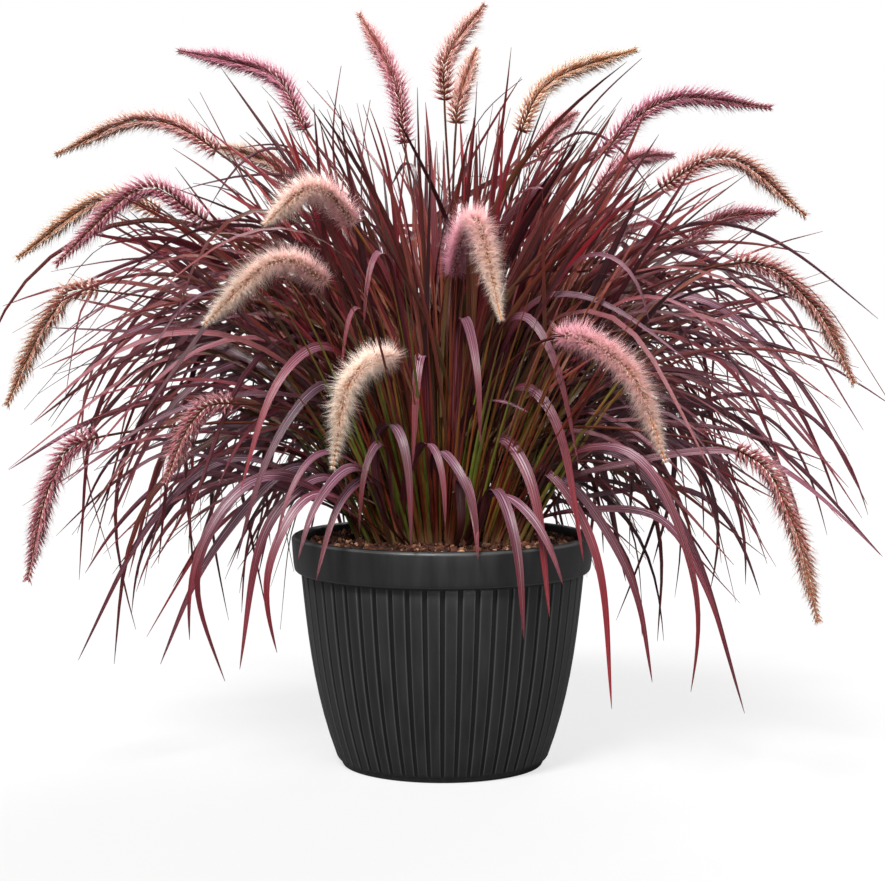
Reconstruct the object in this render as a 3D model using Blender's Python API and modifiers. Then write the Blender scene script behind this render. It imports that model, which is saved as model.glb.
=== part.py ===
"""Potted fountain grass: a ribbed planter, its soil, a leaf clump, leaf blades and flower spikes.

Metres, +Z up. The origin is the centre of the planter's underside, on the ground.
Headings are in degrees seen from above: 0 faces the viewer (-Y), 90 faces +X.
"""

import math

import bmesh
import bpy
from mathutils import Vector

GAP = 0.0003  # between pieces that rest on each other

# Planter
POT_HEIGHT = 0.2745
RIM_RADIUS = 0.180
MOUTH_RADIUS = 0.165
BAND_BOTTOM = 0.2315
BAND_BOTTOM_RADIUS = 0.177
BODY_TOP_RADIUS = 0.169
BODY_FOOT_RADIUS = 0.123
FOOT_RADIUS = 0.1197
FOOT_HEIGHT = 0.007
FOOT_STEP = 0.002
WALL = 0.005
FLOOR = 0.005
RIB_COUNT = 52
RIB_SHARE = 0.68  # of the pitch, the rest is groove
GROOVE_DEPTH = 0.0022
RIB_TOP = BAND_BOTTOM - 0.002
RIB_HEIGHTS = (RIB_TOP, 0.135, 0.060, FOOT_HEIGHT)
WALL_HEIGHTS = (FLOOR, 0.060, 0.150)  # bends of the inner wall, from the floor up
DRAIN_COUNT = 5
DRAIN_SIDES = 8
DRAIN_RADIUS = 0.006
DRAIN_CIRCLE = 0.070

# Soil
SOIL_EDGE_HEIGHT = 0.2565
SOIL_FLAT_RADIUS = 0.118
SOIL_HEIGHT = 0.260
SOIL_CLEAR = 0.0018  # between its edge and the mouth of the planter

# Crown of the clump: a flattened dome whose facets carry the leaves and spikes
CROWN_RADIUS = 0.105
CROWN_RISE = 0.055
CROWN_SLOTS = 60
SLOT_ANGLE = 360 / CROWN_SLOTS
ROW_ANGLES = (6, 30, 54, 78, 90)  # from the top of the dome
TOP, MIDDLE, LOW = 18, 42, 66  # the middles of the three rows that carry leaves
SPROUT = 0.030  # length that leaves the crown at right angles to it

# Leaves and spikes
BLADE_HALF_WIDTH = 0.0055
BLADE_SPREAD = 0.050  # half width for each metre of reach, near the crown
BLADE_THICKNESS = 0.0018
TIP_HALF_WIDTH = 0.0008
CULM_RADIUS = 0.0015
SLIM, FULL, FLUFFY = 0.014, 0.016, 0.019  # radius of a plume to its bristle tips
HEAD_SHARES = (0.10, 0.35, 0.62, 0.86, 1.0)  # places along a plume, and its size at each
HEAD_SIZES = [0.75, 1.0, 0.95, 0.65, 0.15]
KNEE = (0.36, 0.60, 0.14)  # a culm's bend: shares of its run and rise, and its lift for each metre of run

# Fused leaves: reach and height of four points on the arch of each kind
LOW_ARCH = ((0.15, 0.40), (0.26, 0.46), (0.37, 0.38), (0.45, 0.20))
FRONT_ARCH = ((0.13, 0.37), (0.19, 0.39), (0.24, 0.34), (0.27, 0.27))
MIDDLE_ARCH = ((0.12, 0.47), (0.22, 0.60), (0.34, 0.60), (0.46, 0.44))
TOP_ARCH = ((0.07, 0.52), (0.13, 0.68), (0.22, 0.76), (0.34, 0.71))

# Leaf blades that stand out: heading, row of the crown, reach and height of points on the arch
LEAF_BLADES = (
    (12, MIDDLE, ((0.090, 0.540), (0.185, 0.485), (0.200, 0.395))),
    (24, LOW, ((0.130, 0.345), (0.165, 0.335), (0.205, 0.275), (0.222, 0.180))),
    (36, MIDDLE, ((0.105, 0.405), (0.175, 0.345), (0.205, 0.200))),
    (48, TOP, ((0.105, 0.545), (0.172, 0.490), (0.207, 0.370))),
    (48, MIDDLE, ((0.105, 0.460), (0.175, 0.420), (0.215, 0.260))),
    (60, MIDDLE, ((0.128, 0.370), (0.205, 0.265), (0.225, 0.085))),
    (72, LOW, ((0.145, 0.355), (0.230, 0.235), (0.257, 0.110))),
    (84, MIDDLE, ((0.250, 0.565), (0.400, 0.485), (0.500, 0.315))),
    (84, LOW, ((0.185, 0.390), (0.290, 0.280), (0.360, 0.065))),
    (96, MIDDLE, ((0.235, 0.615), (0.375, 0.640), (0.530, 0.530))),
    (96, LOW, ((0.215, 0.455), (0.395, 0.385), (0.540, 0.240))),
    (108, MIDDLE, ((0.190, 0.580), (0.340, 0.610), (0.480, 0.470))),
    (120, TOP, ((0.160, 0.705), (0.200, 0.780), (0.285, 0.850))),
    (144, LOW, ((0.200, 0.420), (0.330, 0.380), (0.420, 0.170))),
    (156, LOW, ((0.200, 0.450), (0.360, 0.440), (0.480, 0.270))),
    (180, LOW, ((0.180, 0.400), (0.300, 0.350), (0.390, 0.150))),
    (-168, TOP, ((0.120, 0.650), (0.200, 0.730), (0.320, 0.700))),
    (-156, LOW, ((0.200, 0.430), (0.350, 0.400), (0.450, 0.220))),
    (-144, TOP, ((0.090, 0.655), (0.160, 0.735), (0.295, 0.830))),
    (-120, TOP, ((0.180, 0.710), (0.225, 0.745), (0.290, 0.740))),
    (-108, LOW, ((0.250, 0.430), (0.435, 0.412), (0.580, 0.335))),
    (-96, MIDDLE, ((0.230, 0.600), (0.365, 0.602), (0.500, 0.540))),
    (-84, LOW, ((0.240, 0.375), (0.345, 0.295), (0.432, 0.130))),
    (-72, LOW, ((0.175, 0.370), (0.284, 0.260), (0.342, 0.136))),
    (-60, LOW, ((0.150, 0.358), (0.234, 0.295), (0.267, 0.135))),
    (-48, MIDDLE, ((0.160, 0.505), (0.250, 0.466), (0.300, 0.346))),
    (-36, LOW, ((0.165, 0.370), (0.240, 0.330), (0.270, 0.272))),
    (-12, MIDDLE, ((0.090, 0.470), (0.130, 0.498), (0.162, 0.370))),
)

# Flower spikes: heading, row of the crown, radius of the plume, then reach and height of the
# plume's foot, its crest and its tip
FLOWER_SPIKES = (
    (12, TOP, FLUFFY, (0.067, 0.587), (0.180, 0.643), (0.300, 0.536)),
    (36, TOP, FLUFFY, (0.222, 0.516), (0.337, 0.482), (0.399, 0.388)),
    (60, TOP, FULL, (0.376, 0.390), (0.440, 0.320), (0.474, 0.206)),
    (72, MIDDLE, FULL, (0.347, 0.597), (0.435, 0.554), (0.486, 0.462)),
    (84, TOP, FULL, (0.255, 0.683), (0.337, 0.718), (0.425, 0.652)),
    (108, TOP, FULL, (0.203, 0.729), (0.291, 0.795), (0.426, 0.789)),
    (120, MIDDLE, FULL, (0.348, 0.616), (0.407, 0.653), (0.495, 0.662)),
    (132, TOP, FULL, (0.128, 0.756), (0.186, 0.823), (0.331, 0.868)),
    (132, LOW, FULL, (0.300, 0.460), (0.400, 0.440), (0.470, 0.330)),
    (144, TOP, FULL, (0.004, 0.787), (0.012, 0.842), (0.086, 0.907)),
    (144, MIDDLE, FULL, (0.346, 0.690), (0.424, 0.733), (0.537, 0.745)),
    (156, MIDDLE, SLIM, (0.306, 0.734), (0.355, 0.770), (0.449, 0.801)),
    (168, TOP, SLIM, (0.079, 0.765), (0.127, 0.816), (0.206, 0.867)),
    (168, LOW, FULL, (0.300, 0.500), (0.400, 0.470), (0.460, 0.360)),
    (180, MIDDLE, FULL, (0.220, 0.590), (0.330, 0.600), (0.430, 0.510)),
    (-168, LOW, FULL, (0.300, 0.420), (0.380, 0.400), (0.450, 0.290)),
    (-156, TOP, FULL, (0.114, 0.743), (0.145, 0.820), (0.261, 0.915)),
    (-144, MIDDLE, FULL, (0.337, 0.705), (0.416, 0.737), (0.531, 0.756)),
    (-132, TOP, FULL, (0.229, 0.763), (0.291, 0.834), (0.465, 0.875)),
    (-132, MIDDLE, SLIM, (0.300, 0.619), (0.355, 0.637), (0.417, 0.651)),
    (-120, MIDDLE, FULL, (0.326, 0.737), (0.444, 0.779), (0.583, 0.739)),
    (-108, MIDDLE, FULL, (0.366, 0.659), (0.447, 0.675), (0.563, 0.604)),
    (-84, MIDDLE, FULL, (0.402, 0.565), (0.459, 0.535), (0.511, 0.432)),
    (-72, TOP, FULL, (0.284, 0.645), (0.359, 0.680), (0.456, 0.596)),
    (-72, MIDDLE, FULL, (0.410, 0.400), (0.463, 0.353), (0.493, 0.240)),
    (-60, MIDDLE, SLIM, (0.274, 0.439), (0.322, 0.422), (0.357, 0.353)),
    (-48, TOP, FLUFFY, (0.180, 0.576), (0.254, 0.597), (0.349, 0.529)),
    (-36, TOP, FLUFFY, (0.172, 0.642), (0.243, 0.678), (0.325, 0.637)),
    (-24, MIDDLE, FLUFFY, (0.141, 0.489), (0.249, 0.466), (0.290, 0.375)),
)


def clear_scene():
    for thing in list(bpy.data.objects):
        bpy.data.objects.remove(thing, do_unlink=True)


def make_material(name, colour, roughness, metallic=0.0):
    material = bpy.data.materials.new(name)
    material.use_nodes = True
    shader = material.node_tree.nodes["Principled BSDF"]
    shader.inputs["Base Color"].default_value = (*colour, 1.0)
    shader.inputs["Roughness"].default_value = roughness
    shader.inputs["Metallic"].default_value = metallic
    return material


def add_object(name, data, material, collection):
    thing = bpy.data.objects.new(name, data)
    data.materials.append(material)
    collection.objects.link(thing)
    return thing


def mesh_from(bm, name, smooth=True):
    mesh = bpy.data.meshes.new(name)
    bm.to_mesh(mesh)
    bm.free()
    if smooth:
        mesh.shade_smooth()
        mesh.set_sharp_from_angle(angle=math.radians(35))
    return mesh


# Directions and paths


def outward(heading):
    angle = math.radians(heading)
    return Vector((math.sin(angle), -math.cos(angle), 0.0))


def sideways(heading):
    return Vector((0, 0, 1)).cross(outward(heading))


def place(heading, reach, height):
    return outward(heading) * reach + Vector((0, 0, height))


def dome_point(angle):
    """Reach and height on the crown at this angle from its top, in degrees."""
    turn = math.radians(angle)
    return (
        CROWN_RADIUS * math.sin(turn),
        SOIL_HEIGHT + GAP + CROWN_RISE * math.cos(turn),
    )


def sprout_points(row):
    """The middle of a crown facet, just clear of it, and a point straight out from it."""
    reach_in, height_in = dome_point(row - 12)
    reach_out, height_out = dome_point(row + 12)
    run, drop = reach_out - reach_in, height_in - height_out
    length = math.hypot(run, drop)
    normal = (drop / length, run / length)
    middle = ((reach_in + reach_out) / 2, (height_in + height_out) / 2)
    return [
        (middle[0] + normal[0] * distance, middle[1] + normal[1] * distance)
        for distance in (GAP, SPROUT)
    ]


def smooth_curve(points, steps=12):
    """Points along a Catmull-Rom curve through the given (reach, height) pairs."""
    first = Vector(points[0]) * 2 - Vector(points[1])
    last = Vector(points[-1]) * 2 - Vector(points[-2])
    knots = [first, *map(Vector, points), last]
    curve = []
    for a, b, c, d in zip(knots, knots[1:], knots[2:], knots[3:]):
        for step in range(steps):
            t = step / steps
            curve.append(
                0.5
                * (
                    2 * b
                    + (c - a) * t
                    + (2 * a - 5 * b + 4 * c - d) * t**2
                    + (3 * b - a - 3 * c + d) * t**3
                )
            )
    curve.append(knots[-2])
    return curve


def along(curve, shares):
    """The points of a curve at these shares of its length."""
    lengths = [0.0]
    for a, b in zip(curve, curve[1:]):
        lengths.append(lengths[-1] + (b - a).length)
    found = []
    for share in shares:
        target = share * lengths[-1]
        index = 0
        while index < len(curve) - 2 and lengths[index + 1] < target:
            index += 1
        span = lengths[index + 1] - lengths[index]
        found.append(curve[index].lerp(curve[index + 1], (target - lengths[index]) / span))
    return found


def blade_half_width(reach, share):
    """Narrow in the crowd at the crown, full over the arch, and drawn out to a fine tip."""
    taper = min(1.0, (1.0 - share) * 1.8)
    width = min(BLADE_HALF_WIDTH, BLADE_SPREAD * reach) * taper
    return max(width, TIP_HALF_WIDTH)


# Planter


def body_radius(height):
    """Outer radius at the ribs, nearly straight at the top and drawn in towards the foot."""
    drop = (BAND_BOTTOM - height) / BAND_BOTTOM
    return BODY_TOP_RADIUS - (BODY_TOP_RADIUS - BODY_FOOT_RADIUS) * (drop + drop**3) / 2


def plain_ring(bm, radius, height):
    """One vertex in the middle of each groove."""
    step = math.tau / RIB_COUNT
    return [
        bm.verts.new((radius * math.cos(i * step), radius * math.sin(i * step), height))
        for i in range(RIB_COUNT)
    ]


def ribbed_ring(bm, radius, height):
    """Three vertices a rib: its two edges, then the bottom of the groove after it."""
    step = math.tau / RIB_COUNT
    ring = []
    for i in range(RIB_COUNT):
        middle = (i + 0.5) * step
        for turn, depth in (
            (-RIB_SHARE / 2, 0),
            (RIB_SHARE / 2, 0),
            (0.5, GROOVE_DEPTH),
        ):
            angle = middle + turn * step
            reach = radius - depth
            ring.append(bm.verts.new((reach * math.cos(angle), reach * math.sin(angle), height)))
    return ring


def join_rings(bm, upper, lower):
    count = len(upper)
    for i in range(count):
        j = (i + 1) % count
        bm.faces.new((upper[i], lower[i], lower[j], upper[j]))


def join_plain_to_ribs(bm, plain, ribbed, plain_above):
    """Close the step between a plain ring and a ribbed one, a rib at a time."""
    for i in range(RIB_COUNT):
        j = (i + 1) % RIB_COUNT
        left, right, groove = ribbed[3 * i : 3 * i + 3]
        next_left = ribbed[3 * j]
        faces = (
            (plain[i], left, right, plain[j]),
            (plain[j], right, groove),
            (plain[j], groove, next_left),
        )
        for corners in faces:
            bm.faces.new(corners if plain_above else corners[::-1])


def make_pot(collection, cutters):
    bm = bmesh.new()
    body = [ribbed_ring(bm, body_radius(height), height) for height in RIB_HEIGHTS]
    for upper, lower in zip(body, body[1:]):
        join_rings(bm, upper, lower)

    outside = (
        (MOUTH_RADIUS, POT_HEIGHT - 0.0020),
        (MOUTH_RADIUS + 0.0015, POT_HEIGHT),
        (RIM_RADIUS - 0.0020, POT_HEIGHT),
        (RIM_RADIUS, POT_HEIGHT - 0.0025),
        (BAND_BOTTOM_RADIUS, BAND_BOTTOM + 0.0050),
        (BAND_BOTTOM_RADIUS - 0.0035, BAND_BOTTOM),
    )
    band = [plain_ring(bm, radius, height) for radius, height in outside]
    for upper, lower in zip(band, band[1:]):
        join_rings(bm, upper, lower)
    join_plain_to_ribs(bm, band[-1], body[0], plain_above=True)

    inside = [plain_ring(bm, body_radius(height) - WALL, height) for height in WALL_HEIGHTS]
    for upper, lower in zip(inside, [*inside[1:], band[0]]):
        join_rings(bm, upper, lower)
    bm.faces.new(inside[0])

    foot = [
        plain_ring(bm, FOOT_RADIUS + FOOT_STEP, FOOT_HEIGHT),
        plain_ring(bm, FOOT_RADIUS, 0.0),
    ]
    join_plain_to_ribs(bm, foot[0], body[-1], plain_above=False)
    join_rings(bm, foot[0], foot[1])
    bm.faces.new(foot[1][::-1])

    plastic = make_material("dark plastic", (0.035, 0.037, 0.040), 0.55)
    pot = add_object("pot", mesh_from(bm, "pot"), plastic, collection)

    drill = bmesh.new()
    for i in range(DRAIN_COUNT):
        centre = place(i * 360 / DRAIN_COUNT, DRAIN_CIRCLE, FLOOR / 2)
        made = bmesh.ops.create_cone(
            drill,
            cap_ends=True,
            segments=DRAIN_SIDES,
            radius1=DRAIN_RADIUS,
            radius2=DRAIN_RADIUS,
            depth=FLOOR * 4,
        )
        bmesh.ops.translate(drill, verts=made["verts"], vec=centre)
    drains = bpy.data.objects.new("drain cutters", mesh_from(drill, "drain cutters"))
    drains.hide_render = True
    drains.display_type = "WIRE"
    cutters.objects.link(drains)
    cut = pot.modifiers.new("drains", "BOOLEAN")
    cut.object = drains
    return pot


def make_soil(collection):
    wall = [(body_radius(height) - WALL - GAP, height) for height in reversed(WALL_HEIGHTS[1:])]
    profile = (
        (0.0, SOIL_HEIGHT),
        (SOIL_FLAT_RADIUS, SOIL_HEIGHT),
        (MOUTH_RADIUS - SOIL_CLEAR, SOIL_EDGE_HEIGHT),
        *wall,
        (body_radius(FLOOR) - WALL - GAP, FLOOR + GAP),
        (0.0, FLOOR + GAP),
    )
    mesh = bpy.data.meshes.new("soil")
    points = [(radius, 0.0, height) for radius, height in profile]
    mesh.from_pydata(points, [(i, i + 1) for i in range(len(points) - 1)], [])
    earth = make_material("bark and soil", (0.10, 0.045, 0.025), 0.9)
    soil = add_object("soil", mesh, earth, collection)
    turn = soil.modifiers.new("turn", "SCREW")
    turn.steps = turn.render_steps = RIB_COUNT
    turn.use_merge_vertices = True
    turn.merge_threshold = 0.0001
    return soil


# Leaf clump


def turned_dome(bm):
    """The crown's dome, with a flat underside, turned so that a facet faces each heading."""
    profile = [(0.0, SOIL_HEIGHT + GAP + CROWN_RISE)]
    profile += [dome_point(angle) for angle in ROW_ANGLES]
    profile.append((0.0, SOIL_HEIGHT + GAP))
    start = place(SLOT_ANGLE / 2, 1.0, 0.0)
    verts = [bm.verts.new((start.x * reach, start.y * reach, height)) for reach, height in profile]
    edges = [bm.edges.new(pair) for pair in zip(verts, verts[1:])]
    bmesh.ops.spin(
        bm,
        geom=verts + edges,
        cent=(0, 0, 0),
        axis=(0, 0, 1),
        angle=math.tau,
        steps=CROWN_SLOTS,
        use_merge=True,
    )
    bmesh.ops.remove_doubles(bm, verts=bm.verts, dist=0.00001)
    bmesh.ops.recalc_face_normals(bm, faces=bm.faces)


def find_facet(bm, heading, row):
    wanted = place(heading, *sprout_points(row)[0])
    return min(bm.faces, key=lambda face: (face.calc_center_median() - wanted).length)


def grow_leaf(bm, heading, row, arch, segments):
    """Draw one facet of the crown out along an arch, ring by ring."""
    face = find_facet(bm, heading, row)
    side = sideways(heading)
    curve = smooth_curve([*sprout_points(row), *arch])
    shares = [step / segments for step in range(segments + 1)]
    points = along(curve, shares)
    for step in range(1, segments + 1):
        before = points[step - 1]
        after = points[min(step + 1, segments)]
        run = (after - before).normalized()
        up = outward(heading) * -run.y + Vector((0, 0, run.x))
        middle = face.calc_center_median()
        centre = place(heading, *points[step])
        half = blade_half_width(points[step].x, shares[step])
        face = bmesh.ops.extrude_discrete_faces(bm, faces=[face])["faces"][0]
        for corner in face.verts:
            offset = corner.co - middle
            turn = math.copysign(half, offset.dot(side))
            rise = math.copysign(BLADE_THICKNESS / 2, offset.dot(up))
            corner.co = centre + side * turn + up * rise


def fused_leaves():
    """Heading, row, arch and segments of each leaf that is one with the crown.

    They take every second slot, so that the separate blades and spikes pass between them.
    """
    slots = range(-174, 180, 12)
    for index, heading in enumerate(slots):
        longer = 1 + 0.08 * math.sin(2.4 * index)
        taller = 1 + 0.06 * math.sin(1.7 * index + 1)
        facing = abs(heading) < 40
        kinds = []
        if facing:
            kinds.append((LOW, FRONT_ARCH, 4))
        elif index % 2:
            kinds.append((LOW, LOW_ARCH, 5))
        if abs(heading) > 20:
            kinds.append((MIDDLE, MIDDLE_ARCH, 5))
        if index % 3 == 2:
            kinds.append((TOP, TOP_ARCH, 4))
        for row, arch, segments in kinds:
            reached = [
                (reach * longer, SOIL_HEIGHT + (height - SOIL_HEIGHT) * taller)
                for reach, height in arch
            ]
            yield heading, row, reached, segments


def make_leaf_clump(material, collection):
    bm = bmesh.new()
    turned_dome(bm)
    for heading, row, arch, segments in fused_leaves():
        grow_leaf(bm, heading, row, arch, segments)
    return add_object("leaf_clump", mesh_from(bm, "leaf_clump"), material, collection)


# Leaf blades and flower spikes


def make_leaf_blade(number, heading, row, arch, material, collection, segments=5):
    """A strip bent along its arch and given its thickness."""
    curve = smooth_curve([*sprout_points(row), *arch])
    bm = bmesh.new()
    bmesh.ops.create_grid(bm, x_segments=1, y_segments=segments, size=0.5)
    for corner in bm.verts:
        share = corner.co.y + 0.5
        point = along(curve, [share])[0]
        half = math.copysign(blade_half_width(point.x, share), corner.co.x)
        corner.co = place(heading, *point) + sideways(heading) * half
    name = f"leaf_blade_{number:02d}"
    blade = add_object(name, mesh_from(bm, name), material, collection)
    thick = blade.modifiers.new("thickness", "SOLIDIFY")
    thick.thickness = BLADE_THICKNESS
    thick.offset = 0.0
    return blade


def make_flower_spike(number, heading, row, radius, plume, material, collection):
    """A culm that carries a plume, as one tube of changing radius."""
    start, sprout = sprout_points(row)
    foot, crest, tip = plume
    run, rise = foot[0] - start[0], foot[1] - start[1]
    knee = (start[0] + KNEE[0] * run, start[1] + KNEE[1] * rise + KNEE[2] * abs(run))
    culm = [start, sprout, knee, foot]
    steps = 12
    curve = smooth_curve([*culm, crest, tip], steps)
    head = along(curve[(len(culm) - 1) * steps :], HEAD_SHARES)
    sizes = [CULM_RADIUS / radius] * len(culm) + HEAD_SIZES

    name = f"flower_spike_{number:02d}"
    data = bpy.data.curves.new(name, "CURVE")
    data.dimensions = "3D"
    data.bevel_depth = radius
    data.bevel_resolution = 1
    data.use_fill_caps = True
    spline = data.splines.new("POLY")
    spline.points.add(len(sizes) - 1)
    for point, spot, size in zip(spline.points, culm + head, sizes):
        point.co = (*place(heading, *spot), 1.0)
        point.radius = size
    spline.use_smooth = True
    return add_object(name, data, material, collection)


def main():
    clear_scene()
    parts = bpy.data.collections.new("potted fountain grass")
    cutters = bpy.data.collections.new("cutters")
    for collection in (parts, cutters):
        bpy.context.scene.collection.children.link(collection)

    make_pot(parts, cutters)
    make_soil(parts)
    leaf = make_material("purple leaf", (0.16, 0.03, 0.055), 0.45)
    make_leaf_clump(leaf, parts)
    for number, (heading, row, arch) in enumerate(LEAF_BLADES, 1):
        make_leaf_blade(number, heading, row, arch, leaf, parts)
    flower = make_material("rose plume", (0.48, 0.22, 0.22), 0.8)
    for number, (heading, row, radius, *plume) in enumerate(FLOWER_SPIKES, 1):
        make_flower_spike(number, heading, row, radius, plume, flower, parts)


main()
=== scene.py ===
"""The finish of a potted fountain grass: planter, bark, leaves and flower plumes.

Metres, +Z up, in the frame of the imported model, whose origin is under the planter's middle.
Headings are in degrees seen from above: 0 faces the camera (-Y), 90 faces +X.
"""

import math

import bpy
import numpy as np
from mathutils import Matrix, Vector
from mathutils.geometry import tessellate_polygon


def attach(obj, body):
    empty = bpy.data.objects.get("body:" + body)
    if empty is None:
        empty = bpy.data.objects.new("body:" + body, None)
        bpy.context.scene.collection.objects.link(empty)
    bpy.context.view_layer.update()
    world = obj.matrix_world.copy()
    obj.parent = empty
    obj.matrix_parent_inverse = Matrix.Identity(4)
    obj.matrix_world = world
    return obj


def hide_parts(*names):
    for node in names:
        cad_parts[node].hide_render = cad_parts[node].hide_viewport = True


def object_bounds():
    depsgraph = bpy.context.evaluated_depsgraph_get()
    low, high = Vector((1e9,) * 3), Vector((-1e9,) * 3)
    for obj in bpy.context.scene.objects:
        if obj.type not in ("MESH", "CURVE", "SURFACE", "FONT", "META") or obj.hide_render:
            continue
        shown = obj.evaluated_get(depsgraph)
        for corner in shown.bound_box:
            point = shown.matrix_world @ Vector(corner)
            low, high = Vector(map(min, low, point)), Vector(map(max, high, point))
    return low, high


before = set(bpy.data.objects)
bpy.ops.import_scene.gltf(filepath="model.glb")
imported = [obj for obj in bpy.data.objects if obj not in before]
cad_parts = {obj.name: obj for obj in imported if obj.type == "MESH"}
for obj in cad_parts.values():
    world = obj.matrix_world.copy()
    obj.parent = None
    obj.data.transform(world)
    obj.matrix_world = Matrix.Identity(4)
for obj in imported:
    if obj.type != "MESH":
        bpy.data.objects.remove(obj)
cad_low, cad_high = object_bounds()

# Planter
POT_HEIGHT = 0.2745
RIM_RADIUS = 0.180
MOUTH_RADIUS = 0.165
BAND_BOTTOM = 0.2315
BAND_BOTTOM_RADIUS = 0.177
BAND_ROUNDING = 0.0055
LIP_ROUNDING = 0.0035  # the inner edge of the lip
RIM_ROUNDING = 0.0045  # its outer edge
BODY_TOP_RADIUS = 0.169
BODY_FOOT_RADIUS = 0.123
FOOT_RADIUS = 0.1197
FOOT_HEIGHT = 0.007
WALL = 0.005
FLOOR = 0.005
RIB_COUNT = 52
RIB_SHARE = 0.76
GROOVE_DEPTH = 0.0022
DRAIN_COUNT = 5
DRAIN_RADIUS = 0.006
DRAIN_CIRCLE = 0.070

# Soil
SOIL_EDGE_HEIGHT = 0.2565
SOIL_FLAT_RADIUS = 0.118
SOIL_HEIGHT = 0.260
SOIL_CLEAR = 0.0018
SOIL_RADIUS = MOUTH_RADIUS - SOIL_CLEAR
MULCH = 0.008  # how high the bark lies on the soil
CHIP_COUNT = 2000
CHIP_RADIUS = (0.0016, 0.0042)
CHIP_SINK = 0.0015  # how far the bed lies below the middles of the chips

# Crown, where the leaves and culms rise
GAP = 0.0003
CROWN_RADIUS = 0.105
CROWN_RISE = 0.055
TOP, MIDDLE, LOW = 18, 42, 66
SPROUT = 0.030
ROOT_DEPTH = 0.004
KNEE = (0.36, 0.60, 0.14)

# Shoots
SHOOT_COUNT = 230
SHOOT_CIRCLE = 0.098
SHOOT_LEAN = (2, 26)  # degrees from upright, in the middle of the clump and at its edge
SHOOT_BEND = 8
SHOOT_LENGTH = (0.16, 0.38)
SHOOT_RADIUS = (0.0014, 0.0027)
SHOOT_FRONT = 0.045  # the soil is bare further forward than this

# Camera, as solved from the photo
CAMERA_REACH = 2.7  # how far in front of the clump's middle it stands
CAMERA_HEIGHT = 0.594
CAMERA_TILT = 0.0767  # radians below level
FOCAL_LENGTH = 2274  # in pixels of the photo
PHOTO_WIDTH = 885
SENSOR_WIDTH = 36.0  # millimetres

# Front of the clump, where the mass is kept from hiding the broad blades and plumes
VIEW_CELL = 0.004
VIEW_CELLS = 520
NOTHING_SEEN = -9.0
FRONT_SECTOR = 66  # broad blades and plumes within these headings stand clear of the mass
PLUME_SECTOR = 62
BLADE_CLEAR = 0.008
PLUME_CLEAR = 0.022
FRONT_SLACK = 0.003
FRONT_OPENING = (0.12, 0.20, 0.60)  # how near, how far either side and how high it is open

# Leaves of the mass
DOME_BASE = 0.30  # the outline of the leaf mass is half an ellipse that stands on this height
DOME_RISE = 0.490
DOME_REACH = 0.60
HEM_HEIGHT = 0.12  # the mass stops at this height, and higher by the slope past this reach
HEM_REACH = 0.40
HEM_SLOPE = 1.8
CANDIDATES = 12  # leaves tried for each one wanted
STIFF_SHARE = 0.20  # how many of those are kept that end far out without drooping,
STRAY_SHARE = 0.02  # that pass in front of a plume or broad blade,
ACROSS_SHARE = 0.15  # and that cross the open middle of the front
HEADING_SCATTER = 42
SWAY = 0.10
MASS_FOLD = 0.35  # depth of a leaf's trough, as a share of its half width

# Kinds of leaf in the mass: how many are wanted, height of the leaf's foot above the soil, lean
# from its shoot, bend, length, half width, and the share of leaves that are green. Fewer
# are made where too few of those tried keep clear of the front and inside the outline
LEAF_KINDS = {
    "core": (430, (0.00, 0.14), (-4, 8), (6, 50), (0.28, 0.50), (0.0016, 0.0030), 0.75),
    "upright": (500, (0.08, 0.28), (-2, 16), (8, 60), (0.38, 0.64), (0.0030, 0.0060), 0.30),
    "inner": (340, (0.05, 0.28), (6, 40), (56, 122), (0.26, 0.50), (0.0014, 0.0030), 0.25),
    "skirt": (190, (0.02, 0.16), (24, 60), (56, 112), (0.22, 0.46), (0.0020, 0.0038), 0.15),
    "outer": (100, (0.04, 0.24), (12, 44), (90, 145), (0.40, 0.68), (0.0030, 0.0048), 0.05),
}
LEAF_PIECES = (  # a piece of the mass, its kinds of leaf, and the steps along each of its leaves
    ("leaf_clump_blades", ("core", "upright", "inner"), 12),
    ("leaf_clump_arching", ("skirt", "outer"), 16),
)
# crest carries the leaves' painted highlight, laid where each arch bends over
LEAF_VALUES = ("along", "across", "crest", "tone", "hue")  # what the leaf material reads

# Broad blades
NAMED_HALF_WIDTH = (0.0062, 0.0072)
EXTRA_HALF_WIDTH = (0.0044, 0.0066)
SIDE_NARROWING = 0.28  # how much narrower they are at the sides
BROAD_FOLD = 0.30
ROLL_SHARE = 0.9  # of the way round to the front or back that a blade's hanging part rolls
MOST_FACING = 62

# Plumes
SLIM, FULL, FLUFFY = 0.0150, 0.0175, 0.0225
WHORL_STEP = 0.0058
PAIR_ANGLES = (34, 86, 138)  # either side of the plume's front, in each whorl
SPIKELET_LENGTH = 0.0165
SPIKELET_RADIUS = 0.0017
BRISTLE_RADIUS = 0.00027
CULM_RADIUS = 0.0020
CULM_TAPER = 0.0011

# How husks and hairs are set: the husks' length and the size at the plume's tip, as shares, the
# hairs of a husk, how much wider than it they lean, how far that varies and how far they swing
# aside, in degrees, where on the husk they spring, how many are long, and their reach
FLUFFY_LOOK = {
    "husk": 0.60, "blunt": 0.12, "hairs": 34, "opening": 10, "scatter": 17, "swing": 28,
    "sprung": (0.05, 0.60), "long": 0.30, "reach": 1.0,
}
PLAIN_LOOK = {
    "husk": 1.0, "blunt": 0.26, "hairs": 12, "opening": 2, "scatter": 12, "swing": 22,
    "sprung": (0.30, 0.90), "long": 0.35, "reach": 0.8,
}

# Light
FILL = 0.26  # from all round, beside a white backdrop of 1
FLOOR_GLOW = 0.71
FLOOR_HALF = 20.0
SUNS = (  # degrees from overhead, heading, strength, and how many degrees across it is
    ("key", 36, -22, 4.6, 16),
    ("front", 66, 20, 0.9, 30),
    ("back", 48, 160, 2.0, 25),
)

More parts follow.
